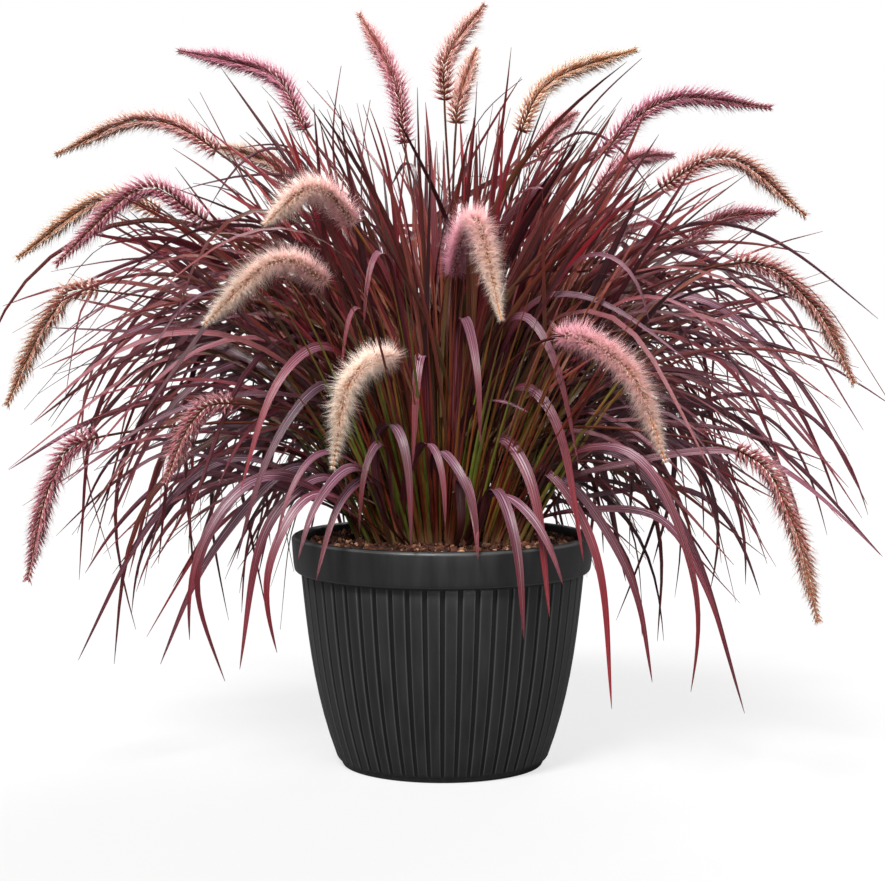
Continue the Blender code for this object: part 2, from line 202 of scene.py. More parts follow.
# Leaf blades that stand out: heading, row of the crown, reach and height of points on the arch,
# then the blade's hue (0 mauve, 1 crimson, 2 olive)
LEAF_BLADES = (
    (12, MIDDLE, ((0.090, 0.540), (0.185, 0.485), (0.200, 0.395)), 0.35),
    (24, LOW, ((0.130, 0.345), (0.165, 0.335), (0.205, 0.275), (0.222, 0.180)), 0.25),
    (36, MIDDLE, ((0.105, 0.405), (0.175, 0.345), (0.205, 0.200)), 0.75),
    (48, TOP, ((0.105, 0.545), (0.172, 0.490), (0.207, 0.370)), 0.25),
    (48, MIDDLE, ((0.105, 0.460), (0.175, 0.420), (0.215, 0.260)), 0.55),
    (60, MIDDLE, ((0.128, 0.370), (0.205, 0.265), (0.225, 0.085)), 0.95),
    (72, LOW, ((0.145, 0.355), (0.230, 0.235), (0.257, 0.110)), 0.50),
    (84, MIDDLE, ((0.250, 0.565), (0.400, 0.485), (0.500, 0.315)), 0.20),
    (84, LOW, ((0.185, 0.390), (0.290, 0.280), (0.360, 0.065)), 0.30),
    (96, MIDDLE, ((0.235, 0.615), (0.375, 0.640), (0.530, 0.530)), 0.30),
    (96, LOW, ((0.215, 0.455), (0.395, 0.385), (0.540, 0.240)), 0.40),
    (108, MIDDLE, ((0.190, 0.580), (0.340, 0.610), (0.480, 0.470)), 0.50),
    (120, TOP, ((0.160, 0.705), (0.200, 0.780), (0.285, 0.850)), 0.20),
    (144, LOW, ((0.200, 0.420), (0.330, 0.380), (0.420, 0.170)), 0.30),
    (156, LOW, ((0.200, 0.450), (0.360, 0.440), (0.480, 0.270)), 0.20),
    (180, LOW, ((0.180, 0.400), (0.300, 0.350), (0.390, 0.150)), 0.40),
    (-168, TOP, ((0.120, 0.650), (0.200, 0.730), (0.320, 0.700)), 0.30),
    (-156, LOW, ((0.200, 0.430), (0.350, 0.400), (0.450, 0.220)), 0.50),
    (-144, TOP, ((0.090, 0.655), (0.160, 0.735), (0.295, 0.830)), 0.90),
    (-120, TOP, ((0.180, 0.710), (0.225, 0.745), (0.290, 0.740)), 0.15),
    (-108, LOW, ((0.250, 0.430), (0.435, 0.412), (0.580, 0.335)), 0.40),
    (-96, MIDDLE, ((0.230, 0.600), (0.365, 0.602), (0.500, 0.540)), 0.50),
    (-84, LOW, ((0.240, 0.375), (0.345, 0.295), (0.432, 0.130)), 0.35),
    (-72, LOW, ((0.175, 0.370), (0.284, 0.260), (0.342, 0.136)), 0.25),
    (-60, LOW, ((0.150, 0.358), (0.234, 0.295), (0.267, 0.135)), 0.30),
    (-48, MIDDLE, ((0.160, 0.505), (0.250, 0.466), (0.300, 0.346)), 1.00),
    (-36, LOW, ((0.165, 0.370), (0.240, 0.330), (0.270, 0.272)), 0.20),
    (-12, MIDDLE, ((0.090, 0.470), (0.130, 0.498), (0.162, 0.370)), 0.30),
)

# More broad blades, given in the same way
EXTRA_BLADES = (
    (12, LOW, ((0.091, 0.357), (0.154, 0.335), (0.180, 0.307), (0.190, 0.268)), 0.25),
    (54, TOP, ((0.175, 0.601), (0.229, 0.615), (0.276, 0.589), (0.285, 0.530)), 0.15),
    (62, MIDDLE, ((0.240, 0.400), (0.324, 0.245), (0.331, 0.180), (0.319, 0.112)), 0.50),
    (66, TOP, ((0.095, 0.546), (0.145, 0.568), (0.207, 0.555), (0.303, 0.487)), 0.30),
    (75, TOP, ((0.064, 0.636), (0.094, 0.697), (0.133, 0.702), (0.157, 0.655)), 0.20),
    (76, LOW, ((0.261, 0.310), (0.291, 0.264), (0.321, 0.212), (0.339, 0.148)), 0.60),
    (78, TOP, ((0.156, 0.651), (0.203, 0.667), (0.261, 0.647), (0.281, 0.627)), 0.20),
    (78, MIDDLE, ((0.347, 0.387), (0.427, 0.342), (0.496, 0.286), (0.514, 0.263)), 0.40),
    (90, TOP, ((0.068, 0.671), (0.071, 0.707), (0.070, 0.757), (0.072, 0.785)), 0.80),
    (90, TOP, ((0.023, 0.601), (0.028, 0.671), (0.032, 0.730), (0.037, 0.768)), 0.90),
    (96, MIDDLE, ((0.323, 0.543), (0.371, 0.536), (0.409, 0.523), (0.443, 0.494)), 0.60),
    (100, TOP, ((0.106, 0.601), (0.124, 0.666), (0.137, 0.714), (0.146, 0.743)), 0.95),
    (100, TOP, ((0.045, 0.660), (0.047, 0.711), (0.047, 0.734), (0.043, 0.762)), 0.50),
    (100, MIDDLE, ((0.368, 0.431), (0.438, 0.381), (0.460, 0.344), (0.481, 0.263)), 0.30),
    (102, TOP, ((0.257, 0.629), (0.277, 0.660), (0.313, 0.683), (0.367, 0.704)), 0.85),
    (102, MIDDLE, ((0.359, 0.443), (0.443, 0.429), (0.516, 0.366), (0.541, 0.285)), 0.50),
    (108, TOP, ((0.118, 0.722), (0.165, 0.768), (0.214, 0.768), (0.268, 0.683)), 0.30),
    (110, TOP, ((0.099, 0.625), (0.112, 0.681), (0.111, 0.720), (0.113, 0.747)), 1.00),
    (112, LOW, ((0.333, 0.321), (0.398, 0.262), (0.420, 0.223), (0.435, 0.177)), 0.30),
    (132, TOP, ((0.031, 0.732), (0.049, 0.766), (0.082, 0.794), (0.130, 0.820)), 0.25),
    (-130, TOP, ((0.125, 0.625), (0.131, 0.722), (0.126, 0.762), (0.114, 0.794)), 0.80),
    (-120, TOP, ((0.187, 0.726), (0.241, 0.751), (0.306, 0.729), (0.337, 0.668)), 0.15),
    (-114, TOP, ((0.147, 0.710), (0.144, 0.777), (0.133, 0.833)), 0.70),
    (-112, TOP, ((0.236, 0.650), (0.281, 0.690), (0.336, 0.728), (0.360, 0.739)), 0.70),
    (-108, TOP, ((0.229, 0.653), (0.268, 0.726), (0.289, 0.767), (0.311, 0.805)), 1.70),
    (-102, LOW, ((0.270, 0.360), (0.348, 0.293), (0.384, 0.241), (0.392, 0.167)), 0.30),
    (-100, TOP, ((0.220, 0.667), (0.243, 0.681), (0.271, 0.693), (0.305, 0.693)), 0.30),
    (-100, TOP, ((0.057, 0.553), (0.054, 0.636), (0.049, 0.695), (0.041, 0.754)), 1.00),
    (-100, LOW, ((0.362, 0.392), (0.413, 0.361), (0.450, 0.299), (0.456, 0.266)), 0.20),
    (-96, LOW, ((0.306, 0.351), (0.368, 0.311), (0.422, 0.250), (0.437, 0.221)), 0.60),
    (-90, TOP, ((0.271, 0.577), (0.338, 0.507), (0.351, 0.467), (0.355, 0.426)), 0.10),
    (-90, MIDDLE, ((0.311, 0.535), (0.405, 0.494), (0.436, 0.457), (0.469, 0.410)), 0.15),
    (-78, LOW, ((0.312, 0.383), (0.367, 0.358), (0.390, 0.335), (0.405, 0.312)), 0.10),
    (-70, TOP, ((0.063, 0.682), (0.068, 0.725), (0.078, 0.760), (0.090, 0.777)), 0.60),
    (-66, LOW, ((0.220, 0.370), (0.312, 0.257), (0.307, 0.208), (0.274, 0.117)), 0.70),
    (-58, LOW, ((0.240, 0.365), (0.320, 0.288), (0.337, 0.221), (0.334, 0.176)), 0.20),
    (-54, MIDDLE, ((0.144, 0.471), (0.179, 0.463), (0.247, 0.379), (0.285, 0.266)), 0.10),
    (-50, LOW, ((0.190, 0.345), (0.239, 0.292), (0.263, 0.235), (0.244, 0.158)), 0.50),
    (-42, MIDDLE, ((0.195, 0.391), (0.226, 0.378), (0.261, 0.335), (0.275, 0.290)), 0.25),
    (-36, TOP, ((0.157, 0.558), (0.177, 0.547), (0.191, 0.506), (0.193, 0.474)), 0.55),
    (-36, LOW, ((0.132, 0.357), (0.169, 0.349), (0.205, 0.323), (0.239, 0.245)), 0.20),
    (-30, TOP, ((0.122, 0.614), (0.158, 0.617), (0.175, 0.576), (0.176, 0.525)), 0.15),
    (-30, LOW, ((0.129, 0.401), (0.166, 0.385), (0.183, 0.349), (0.187, 0.297)), 0.15),
)

# Points on the broad blades that hang across the front, and their hues
FRONT_BLADES = (
    (
        (-0.060, -0.055, 0.262), (-0.081, -0.100, 0.383), (-0.058, -0.140, 0.427),
        (-0.042, -0.170, 0.399), (-0.036, -0.180, 0.354), (-0.035, -0.190, 0.280),
    ),
    (
        (-0.050, -0.050, 0.262), (-0.043, -0.090, 0.348), (-0.020, -0.130, 0.402),
        (-0.004, -0.155, 0.383), (0.002, -0.165, 0.353), (0.003, -0.175, 0.303),
    ),
    (
        (-0.010, -0.050, 0.262), (-0.009, -0.085, 0.359), (-0.007, -0.120, 0.391),
        (0.008, -0.150, 0.378), (0.027, -0.165, 0.355), (0.035, -0.172, 0.327),
        (0.040, -0.180, 0.281),
    ),
    (
        (0.020, -0.050, 0.262), (0.038, -0.080, 0.300), (0.051, -0.115, 0.336),
        (0.077, -0.145, 0.334), (0.101, -0.165, 0.313), (0.121, -0.180, 0.280),
        (0.134, -0.188, 0.240),
    ),
    (
        (0.010, -0.030, 0.262), (0.015, -0.050, 0.356), (0.027, -0.090, 0.423),
        (0.049, -0.120, 0.444), (0.080, -0.140, 0.440), (0.098, -0.150, 0.429),
    ),
)
FRONT_HUES = (0.10, 0.25, 0.15, 0.35, 0.05)

# Flower spikes: heading, row of the crown, radius to the bristle tips, reach and height of the
# plume's foot, crest and tip, then its warmth (0 purple, 1 straw) at the foot and at the tip
FLOWER_SPIKES = (
    (12, TOP, FLUFFY, (0.067, 0.587), (0.180, 0.643), (0.300, 0.536), 0.05, 0.85),
    (36, TOP, FLUFFY, (0.222, 0.516), (0.337, 0.482), (0.399, 0.388), 0.20, 0.70),
    (60, TOP, FULL, (0.376, 0.390), (0.440, 0.320), (0.474, 0.206), 0.25, 0.75),
    (72, MIDDLE, FULL, (0.347, 0.597), (0.435, 0.554), (0.486, 0.462), 0.35, 0.65),
    (84, TOP, FULL, (0.255, 0.683), (0.337, 0.718), (0.425, 0.652), 0.35, 0.70),
    (108, TOP, FULL, (0.203, 0.729), (0.291, 0.795), (0.426, 0.789), 0.05, 0.10),
    (120, MIDDLE, FULL, (0.348, 0.616), (0.407, 0.653), (0.495, 0.662), 0.20, 0.20),
    (132, TOP, FULL, (0.128, 0.756), (0.186, 0.823), (0.331, 0.868), 0.70, 0.90),
    (132, LOW, FULL, (0.300, 0.460), (0.400, 0.440), (0.470, 0.330), 0.30, 0.60),
    (144, TOP, FULL, (0.004, 0.787), (0.012, 0.842), (0.086, 0.907), 0.45, 0.55),
    (144, MIDDLE, FULL, (0.346, 0.690), (0.424, 0.733), (0.537, 0.745), 0.15, 0.20),
    (156, MIDDLE, SLIM, (0.306, 0.734), (0.355, 0.770), (0.449, 0.801), 0.30, 0.30),
    (168, TOP, SLIM, (0.079, 0.765), (0.127, 0.816), (0.206, 0.867), 0.50, 0.60),
    (168, LOW, FULL, (0.300, 0.500), (0.400, 0.470), (0.460, 0.360), 0.20, 0.60),
    (180, MIDDLE, FULL, (0.220, 0.590), (0.330, 0.600), (0.430, 0.510), 0.35, 0.75),
    (-168, LOW, FULL, (0.300, 0.420), (0.380, 0.400), (0.450, 0.290), 0.10, 0.40),
    (-156, TOP, FULL, (0.114, 0.743), (0.145, 0.820), (0.261, 0.915), 0.10, 0.50),
    (-144, MIDDLE, FULL, (0.337, 0.705), (0.416, 0.737), (0.531, 0.756), 0.60, 0.70),
    (-132, TOP, FULL, (0.229, 0.763), (0.291, 0.834), (0.465, 0.875), 0.05, 0.10),
    (-132, MIDDLE, SLIM, (0.300, 0.619), (0.355, 0.637), (0.417, 0.651), 0.25, 0.30),
    (-120, MIDDLE, FULL, (0.326, 0.737), (0.444, 0.779), (0.583, 0.739), 0.35, 0.75),
    (-108, MIDDLE, FULL, (0.366, 0.659), (0.447, 0.675), (0.563, 0.604), 0.65, 0.85),
    (-84, MIDDLE, FULL, (0.402, 0.565), (0.459, 0.535), (0.511, 0.432), 0.55, 0.75),
    (-72, TOP, FULL, (0.284, 0.645), (0.359, 0.680), (0.456, 0.596), 0.10, 0.20),
    (-72, MIDDLE, FULL, (0.410, 0.400), (0.463, 0.353), (0.493, 0.240), 0.15, 0.30),
    (-60, MIDDLE, SLIM, (0.274, 0.439), (0.322, 0.422), (0.357, 0.353), 0.25, 0.35),
    (-48, TOP, FLUFFY, (0.180, 0.576), (0.254, 0.597), (0.349, 0.529), 0.40, 0.85),
    (-36, TOP, FLUFFY, (0.172, 0.642), (0.243, 0.678), (0.325, 0.637), 0.35, 0.75),
    (-24, MIDDLE, FLUFFY, (0.141, 0.489), (0.249, 0.466), (0.290, 0.375), 0.60, 0.95),
)

UP = np.array([0.0, 0.0, 1.0])


# Directions and paths


def outward(heading):
    angle = np.radians(heading)
    return np.stack([np.sin(angle), -np.cos(angle), np.zeros_like(angle)], axis=-1)


def sideways(heading):
    angle = np.radians(heading)
    return np.stack([np.cos(angle), np.sin(angle), np.zeros_like(angle)], axis=-1)


def unit(vectors):
    return vectors / np.linalg.norm(vectors, axis=-1, keepdims=True)


def swung(first, second, angle):
    """The first directions swung by these angles, in radians, towards the second."""
    return first * np.cos(angle)[:, None] + second * np.sin(angle)[:, None]


def dome_point(angle):
    """Reach and height on the crown at this angle from its top, in degrees."""
    turn = math.radians(angle)
    return np.array([
        CROWN_RADIUS * math.sin(turn),
        SOIL_HEIGHT + GAP + CROWN_RISE * math.cos(turn),
    ])


def sprout_points(row):
    """Where a leaf or culm leaves the crown, and a point straight out from there."""
    inner, outer = dome_point(row - 12), dome_point(row + 12)
    run, drop = outer[0] - inner[0], inner[1] - outer[1]
    normal = np.array([drop, run]) / math.hypot(run, drop)
    middle = (inner + outer) / 2
    return [tuple(middle + normal * GAP), tuple(middle + normal * SPROUT)]


def rooted(row):
    """The sprout points, after a foot in the soil below them."""
    start, sprout = sprout_points(row)
    return [(start[0] * 0.62, SOIL_HEIGHT - ROOT_DEPTH), start, sprout]


def smooth_curve(points, steps=16):
    """Points along a Catmull-Rom curve through the given points."""
    knots = np.array(points, float)
    knots = np.vstack([2 * knots[0] - knots[1], knots, 2 * knots[-1] - knots[-2]])
    t = (np.arange(steps) / steps)[:, None]
    runs = [
        0.5
        * (
            2 * b
            + (c - a) * t
            + (2 * a - 5 * b + 4 * c - d) * t**2
            + (3 * b - a - 3 * c + d) * t**3
        )
        for a, b, c, d in zip(knots, knots[1:], knots[2:], knots[3:])
    ]
    return np.vstack([*runs, knots[-2]])


def along(curve, shares):
    """The points of a curve at these shares of its length."""
    lengths = path_lengths(curve)
    wanted = np.asarray(shares) * lengths[-1]
    return np.stack([np.interp(wanted, lengths, column) for column in curve.T], axis=-1)


def path_lengths(curve):
    steps = np.linalg.norm(np.diff(curve, axis=0), axis=1)
    return np.concatenate([[0.0], np.cumsum(steps)])


def softened(path, passes=14):
    """The path with its tight turns eased, its ends where they were."""
    for _ in range(passes):
        path = np.vstack([path[:1], (path[:-2] + 2 * path[1:-1] + path[2:]) / 4, path[-1:]])
    return path


def in_plane(heading, flat):
    """Reach and height pairs as points in the upright plane of this heading."""
    return outward(heading) * flat[:, :1] + UP * flat[:, 1:]


def turned(side, normal, degrees):
    """Both vectors turned about the path that they're square to."""
    angle = np.radians(degrees)[:, None]
    return (
        side * np.cos(angle) + normal * np.sin(angle),
        normal * np.cos(angle) - side * np.sin(angle),
    )


# Meshes


class Shape:
    """Triangles gathered for one piece, with the values that its materials read."""

    def __init__(self, *value_names):
        self.points = []
        self.faces = []
        self.slots = []
        self.values = {name: [] for name in value_names}
        self.count = 0

    def add(self, points, faces, slot=0, **values):
        points = np.asarray(points, float).reshape(-1, 3)
        faces = np.asarray(faces, int).reshape(-1, 3)
        self.points.append(points)
        self.faces.append(faces + self.count)
        self.slots.append(np.full(len(faces), slot))
        for name, stored in self.values.items():
            stored.append(np.broadcast_to(np.ravel(values.get(name, 0.0)), len(points)))
        self.count += len(points)

    def piece(self, name, materials, replaces, sharp=None):
        points = np.concatenate(self.points)
        faces = np.concatenate(self.faces)
        mesh = bpy.data.meshes.new(name)
        mesh.vertices.add(len(points))
        mesh.vertices.foreach_set("co", points.astype(np.float32).ravel())
        mesh.loops.add(faces.size)
        mesh.loops.foreach_set("vertex_index", faces.astype(np.int32).ravel())
        mesh.polygons.add(len(faces))
        mesh.polygons.foreach_set("loop_start", np.arange(0, faces.size, 3, dtype=np.int32))
        mesh.polygons.foreach_set("material_index", np.concatenate(self.slots).astype(np.int32))
        for material in materials:
            mesh.materials.append(material)
        for value, stored in self.values.items():
            layer = mesh.attributes.new(value, "FLOAT", "POINT")
            layer.data.foreach_set("value", np.concatenate(stored).astype(np.float32))
        mesh.update(calc_edges=True)
        mesh.shade_smooth()
        if sharp is not None:
            mesh.set_sharp_from_angle(angle=math.radians(sharp))
        thing = bpy.data.objects.new(name, mesh)
        bpy.context.scene.collection.objects.link(thing)
        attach(thing, "root")
        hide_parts(replaces)
        return thing


def ring_faces(rings, sides, ends=True):
    """Triangles of a closed tube of rings, with flat ends unless it's left open."""
    faces = []
    for ring in range(rings - 1):
        for side in range(sides):
            a = ring * sides + side
            b = ring * sides + (side + 1) % sides
            faces += [(a, b, b + sides), (a, b + sides, a + sides)]
    last = (rings - 1) * sides
    for side in range(1, sides - 1 if ends else 1):
        faces.append((0, side + 1, side))
        faces.append((last, last + side, last + side + 1))
    return np.array(faces)


def spindle_faces(rings, sides):
    """Triangles of a spindle: its foot, its rings, then its tip."""
    faces = [(0, 1 + (side + 1) % sides, 1 + side) for side in range(sides)]
    for ring in range(rings - 1):
        for side in range(sides):
            a = 1 + ring * sides + side
            b = 1 + ring * sides + (side + 1) % sides
            faces += [(a, b, b + sides), (a, b + sides, a + sides)]
    last = 1 + (rings - 1) * sides
    tip = 1 + rings * sides
    faces += [(last + side, last + (side + 1) % sides, tip) for side in range(sides)]
    return np.array(faces)


def repeated(faces, count, stride):
    """The same triangles for each of several copies laid end to end."""
    return (faces[None] + (np.arange(count) * stride)[:, None, None]).reshape(-1, 3)


def circles(first, second, sides):
    """Points on unit circles, one circle in the plane of each pair of directions."""
    turns = np.arange(sides) / sides * math.tau
    return (
        np.cos(turns)[None, :, None] * first[:, None] + np.sin(turns)[None, :, None] * second[:, None]
    )


def tube(path, side, normal, radii, sides):
    return path[:, None] + circles(side, normal, sides) * np.asarray(radii)[:, None, None]


def frame_along(path, side):
    """A side and a normal at each point of a path, square to it and to each other."""
    tangent = unit(np.gradient(path, axis=0))
    normal = unit(np.cross(tangent, side))
    return np.cross(normal, tangent), normal


# Sections of a blade: place across it, lift at its margins as a share of the fold, and skin
FINE_SECTION = (
    np.array([-1.0, -0.55, 0.0, 0.55, 1.0, 0.55, 0.0, -0.55]),
    np.array([1.0, 0.62, 0.0, 0.62, 1.0, 0.50, 0.0, 0.50]),
    np.array([0.0, 1.0, 0.6, 1.0, 0.0, -1.0, -1.4, -1.0]),
)
PLAIN_SECTION = (
    np.array([-1.0, 0.0, 1.0, 0.0]),
    np.array([1.0, 0.0, 1.0, 0.0]),
    np.array([0.0, 1.0, 0.0, -1.0]),
)
BLADE_SKIN = 0.00028


def ribbon(path, side, normal, half, fold, section):
    """Rings of a leaf blade: a shallow trough with thin margins."""
    across, lift, skin = section
    rise = half[:, None] * fold[:, None] * lift[None] + BLADE_SKIN * skin[None]
    return (
        path[:, None]
        + side[:, None] * (half[:, None] * across[None])[..., None]
        + normal[:, None] * rise[..., None]
    )


def blade_width(shares, full):
    """Narrow where it leaves its sheath, widest past the middle, then drawn out to its tip."""
    foot = 0.45 + 0.55 * np.clip(shares / 0.45, 0, 1)
    tip = np.clip((1 - shares) / 0.45, 0, 1) ** 0.62
    return np.maximum(full * foot * tip, 0.00025)


# Planter


def body_radius(height):
    drop = (BAND_BOTTOM - height) / BAND_BOTTOM
    return BODY_TOP_RADIUS - (BODY_TOP_RADIUS - BODY_FOOT_RADIUS) * (drop + drop**3) / 2


def rounded_corner(centre, radius, start, end, steps):
    """Radius and height pairs on an arc, its angles in degrees from straight out."""
    turns = np.radians(np.linspace(start, end, steps))
    return [
        (centre[0] + radius * math.cos(turn), centre[1] + radius * math.sin(turn))
        for turn in turns
    ]


def lip_highlight_share(radius, height):
    """1 on the lip's outer rounding and the band's lower one, where the light catches them."""
    on_lip = height > POT_HEIGHT - 0.0030 and radius > RIM_RADIUS - 0.0040
    on_band = radius > BAND_BOTTOM_RADIUS - 0.0020 and height < BAND_BOTTOM + 0.0030
    return on_lip or on_band


def planter_profile():
    """Radius, height and share of the grooves' depth, from the inner floor over the lip down."""
    rows = [(body_radius(z) - WALL, z, 0) for z in (FLOOR, 0.08, 0.17, 0.205)]
    rows.append((MOUTH_RADIUS - 0.0004, 0.236, 0))
    rows.append((MOUTH_RADIUS, 0.262, 0))
    lip = (MOUTH_RADIUS + LIP_ROUNDING, POT_HEIGHT - LIP_ROUNDING)
    rows += [(r, z, 0) for r, z in rounded_corner(lip, LIP_ROUNDING, 180, 90, 5)]
    rim = (RIM_RADIUS - RIM_ROUNDING, POT_HEIGHT - RIM_ROUNDING)
    rows += [(r, z, 0) for r, z in rounded_corner(rim, RIM_ROUNDING, 90, 0, 6)]
    rows.append((RIM_RADIUS - 0.0010, 0.256, 0))
    rows.append((RIM_RADIUS - 0.0022, 0.242, 0))
    corner = (BAND_BOTTOM_RADIUS - BAND_ROUNDING, BAND_BOTTOM + BAND_ROUNDING)
    rows += [(r, z, 0) for r, z in rounded_corner(corner, BAND_ROUNDING, -4, -90, 6)]
    rows.append((BODY_TOP_RADIUS - 0.0005, BAND_BOTTOM + 0.0004, 0))
    rows.append((BODY_TOP_RADIUS - 0.0008, BAND_BOTTOM - 0.0016, 0.4))
    heights = np.linspace(BAND_BOTTOM - 0.003, FOOT_HEIGHT + 0.004, 10)
    rows += [(body_radius(z), z, 1) for z in heights]
    rows.append((body_radius(FOOT_HEIGHT) - 0.0004, FOOT_HEIGHT + 0.001, 0.7))
    rows.append((FOOT_RADIUS + 0.0022, FOOT_HEIGHT - 0.0012, 0))
    rows.append((FOOT_RADIUS + 0.0012, 0.0022, 0))
    rows.append((FOOT_RADIUS, 0.0, 0))
    return rows


def drain_circles():
    """The drain holes' edges at the height of the planter's foot."""
    turns = np.arange(24) / 24 * math.tau
    circles = []
    for spot in np.arange(DRAIN_COUNT) / DRAIN_COUNT * math.tau:
        x = DRAIN_CIRCLE * math.sin(spot) + DRAIN_RADIUS * np.cos(turns)
        y = -DRAIN_CIRCLE * math.cos(spot) + DRAIN_RADIUS * np.sin(turns)
        circles.append(np.stack([x, y, np.zeros_like(x)], axis=-1))
    return circles


def plate_faces(loops, up):
    """Triangles of a flat plate inside the first loop and outside the others."""
    flat = [[Vector((x, y, 0)) for x, y, _ in loop] for loop in loops]
    points = np.array([(p.x, p.y) for loop in flat for p in loop])
    faces = np.array(tessellate_polygon(flat))
    a, b, c = (points[faces[:, corner]] for corner in range(3))
    area = (b[:, 0] - a[:, 0]) * (c[:, 1] - a[:, 1]) - (b[:, 1] - a[:, 1]) * (c[:, 0] - a[:, 0])
    return np.where((area * up > 0)[:, None], faces, faces[:, ::-1])


def make_planter():
    """Rings from the inner floor up the wall, over the lip, and down outside to the foot."""
    edge = RIB_SHARE / 2
    flank = (-0.05, -0.02, 0.01, 0.05, 0.10, 0.18)
    places = [-0.5, *(-edge + step for step in flank)]
    places += [0.0] + [-spot for spot in reversed(places[1:])]
    places = np.array(places)
    rise = np.clip((edge + 0.02 - np.abs(places)) / 0.08, 0, 1)
    depth = GROOVE_DEPTH * (1 - rise * (2 - rise))
    angles = ((np.arange(RIB_COUNT)[:, None] + 0.5 + places[None]) * math.tau / RIB_COUNT).ravel()
    depths = np.tile(depth, RIB_COUNT)
    # a painted highlight: a pale line along each edge of every rib
    edge_highlight = np.tile(np.exp(-(((np.abs(places) - edge + 0.05) / 0.035) ** 2)), RIB_COUNT)

    rows = planter_profile()
    rims = []
    for radius, height, ribbed in rows:
        reach = radius - depths * ribbed
        rims.append(np.stack([
            reach * np.cos(angles), reach * np.sin(angles), np.full(len(angles), height)
        ], axis=-1))
    shape = Shape("edge", "groove", "lip")
    shape.add(
        np.concatenate(rims),
        ring_faces(len(rows), len(angles), ends=False)[:, ::-1],
        # edge: where the painted highlight lies along the ribs' edges
        edge=np.concatenate([edge_highlight * row[2] for row in rows]),
        # painted shade in the grooves, as dark as they are deep
        groove=np.concatenate([depths / GROOVE_DEPTH * row[2] for row in rows]),
        # lip: painted highlight on the lip's outer rounding and the band's lower edge
        lip=np.concatenate([np.full(len(angles), float(lip_highlight_share(*row[:2]))) for row in rows]),
    )
    outside = drain_circles()
    inside = [hole + [0, 0, FLOOR] for hole in outside]
    for rim, holes, up in ((rims[0], inside, 1), (rims[-1], outside, -1)):
        shape.add(np.concatenate([rim, *holes]), plate_faces([rim, *outside], up))
    for top, bottom in zip(inside, outside):
        shape.add(np.concatenate([top, bottom]), ring_faces(2, len(top), ends=False))
    return shape.piece("ribbed_planter", [plastic_material()], "pot", sharp=40)


# Materials


def linear(red, green, blue):
    """A colour from its 0 to 255 screen values."""
    screen = np.array([red, green, blue]) / 255
    low = screen / 12.92
    high = ((screen + 0.055) / 1.055) ** 2.4
    return (*np.where(screen <= 0.04045, low, high), 1.0)


class Recipe:
    """A node material that is put together a node at a time."""

    def __init__(self, name, roughness, specular=0.5):
        self.material = bpy.data.materials.new(name)
        self.material.use_nodes = True
        self.tree = self.material.node_tree
        self.shader = self.tree.nodes["Principled BSDF"]
        self.shader.inputs["Roughness"].default_value = roughness
        self.shader.inputs["Specular IOR Level"].default_value = specular

    def node(self, kind, **settings):
        made = self.tree.nodes.new(kind)
        for key, value in settings.items():
            setattr(made, key, value)
        return made

    def fill(self, socket, given):
        """Give a socket a plain value, or link a node's output to it."""
        if isinstance(given, (int, float, tuple)):
            socket.default_value = given
        else:
            self.tree.links.new(given, socket)

    def value(self, name):
        return self.node("ShaderNodeAttribute", attribute_name=name).outputs["Fac"]

    def math(self, operation, *inputs):
        made = self.node("ShaderNodeMath", operation=operation)
        for socket, given in zip(made.inputs, inputs):
            self.fill(socket, given)
        return made.outputs[0]

    def times(self, first, second):
        return self.math("MULTIPLY", first, second)

    def ramp(self, fac, stops):
        made = self.node("ShaderNodeValToRGB")
        elements = made.color_ramp.elements
        while len(elements) < len(stops):
            elements.new(0.5)
        for element, (position, colour) in zip(elements, stops):
            element.position = position
            element.color = colour
        self.fill(made.inputs["Fac"], fac)
        return made.outputs["Color"]

    def grey_ramp(self, fac, stops):
        return self.ramp(fac, [(place, (level, level, level, 1)) for place, level in stops])

    def noise(self, scale, detail=3.0, vector=None, stretch=None):
        if vector is None:
            vector = self.node("ShaderNodeTexCoord").outputs["Object"]
        if stretch is not None:
            mapping = self.node("ShaderNodeMapping")
            self.fill(mapping.inputs["Scale"], stretch)
            self.fill(mapping.inputs["Vector"], vector)
            vector = mapping.outputs["Vector"]
        made = self.node("ShaderNodeTexNoise")
        self.fill(made.inputs["Scale"], scale)
        self.fill(made.inputs["Detail"], detail)
        self.fill(made.inputs["Vector"], vector)
        return made.outputs["Fac"]

    def combine(self, x, y, z):
        made = self.node("ShaderNodeCombineXYZ")
        for socket, given in zip(made.inputs, (x, y, z)):
            self.fill(socket, given)
        return made.outputs[0]

    def mix(self, fac, first, second):
        made = self.node("ShaderNodeMix", data_type="RGBA")
        for index, given in ((0, fac), (6, first), (7, second)):
            self.fill(made.inputs[index], given)
        return made.outputs[2]

    def laid_over(self, base, colour, fac, stops):
        """The base with a colour laid over it, as strongly as a grey ramp says."""
        return self.mix(self.grey_ramp(fac, stops), base, colour)

    def colour(self, output):
        self.fill(self.shader.inputs["Base Color"], output)

    def roughness(self, output):
        self.fill(self.shader.inputs["Roughness"], output)

    def bump(self, height, distance):
        made = self.node("ShaderNodeBump")
        self.fill(made.inputs["Strength"], 1.0)
        self.fill(made.inputs["Distance"], distance)
        self.fill(made.inputs["Height"], height)
        self.fill(self.shader.inputs["Normal"], made.outputs["Normal"])


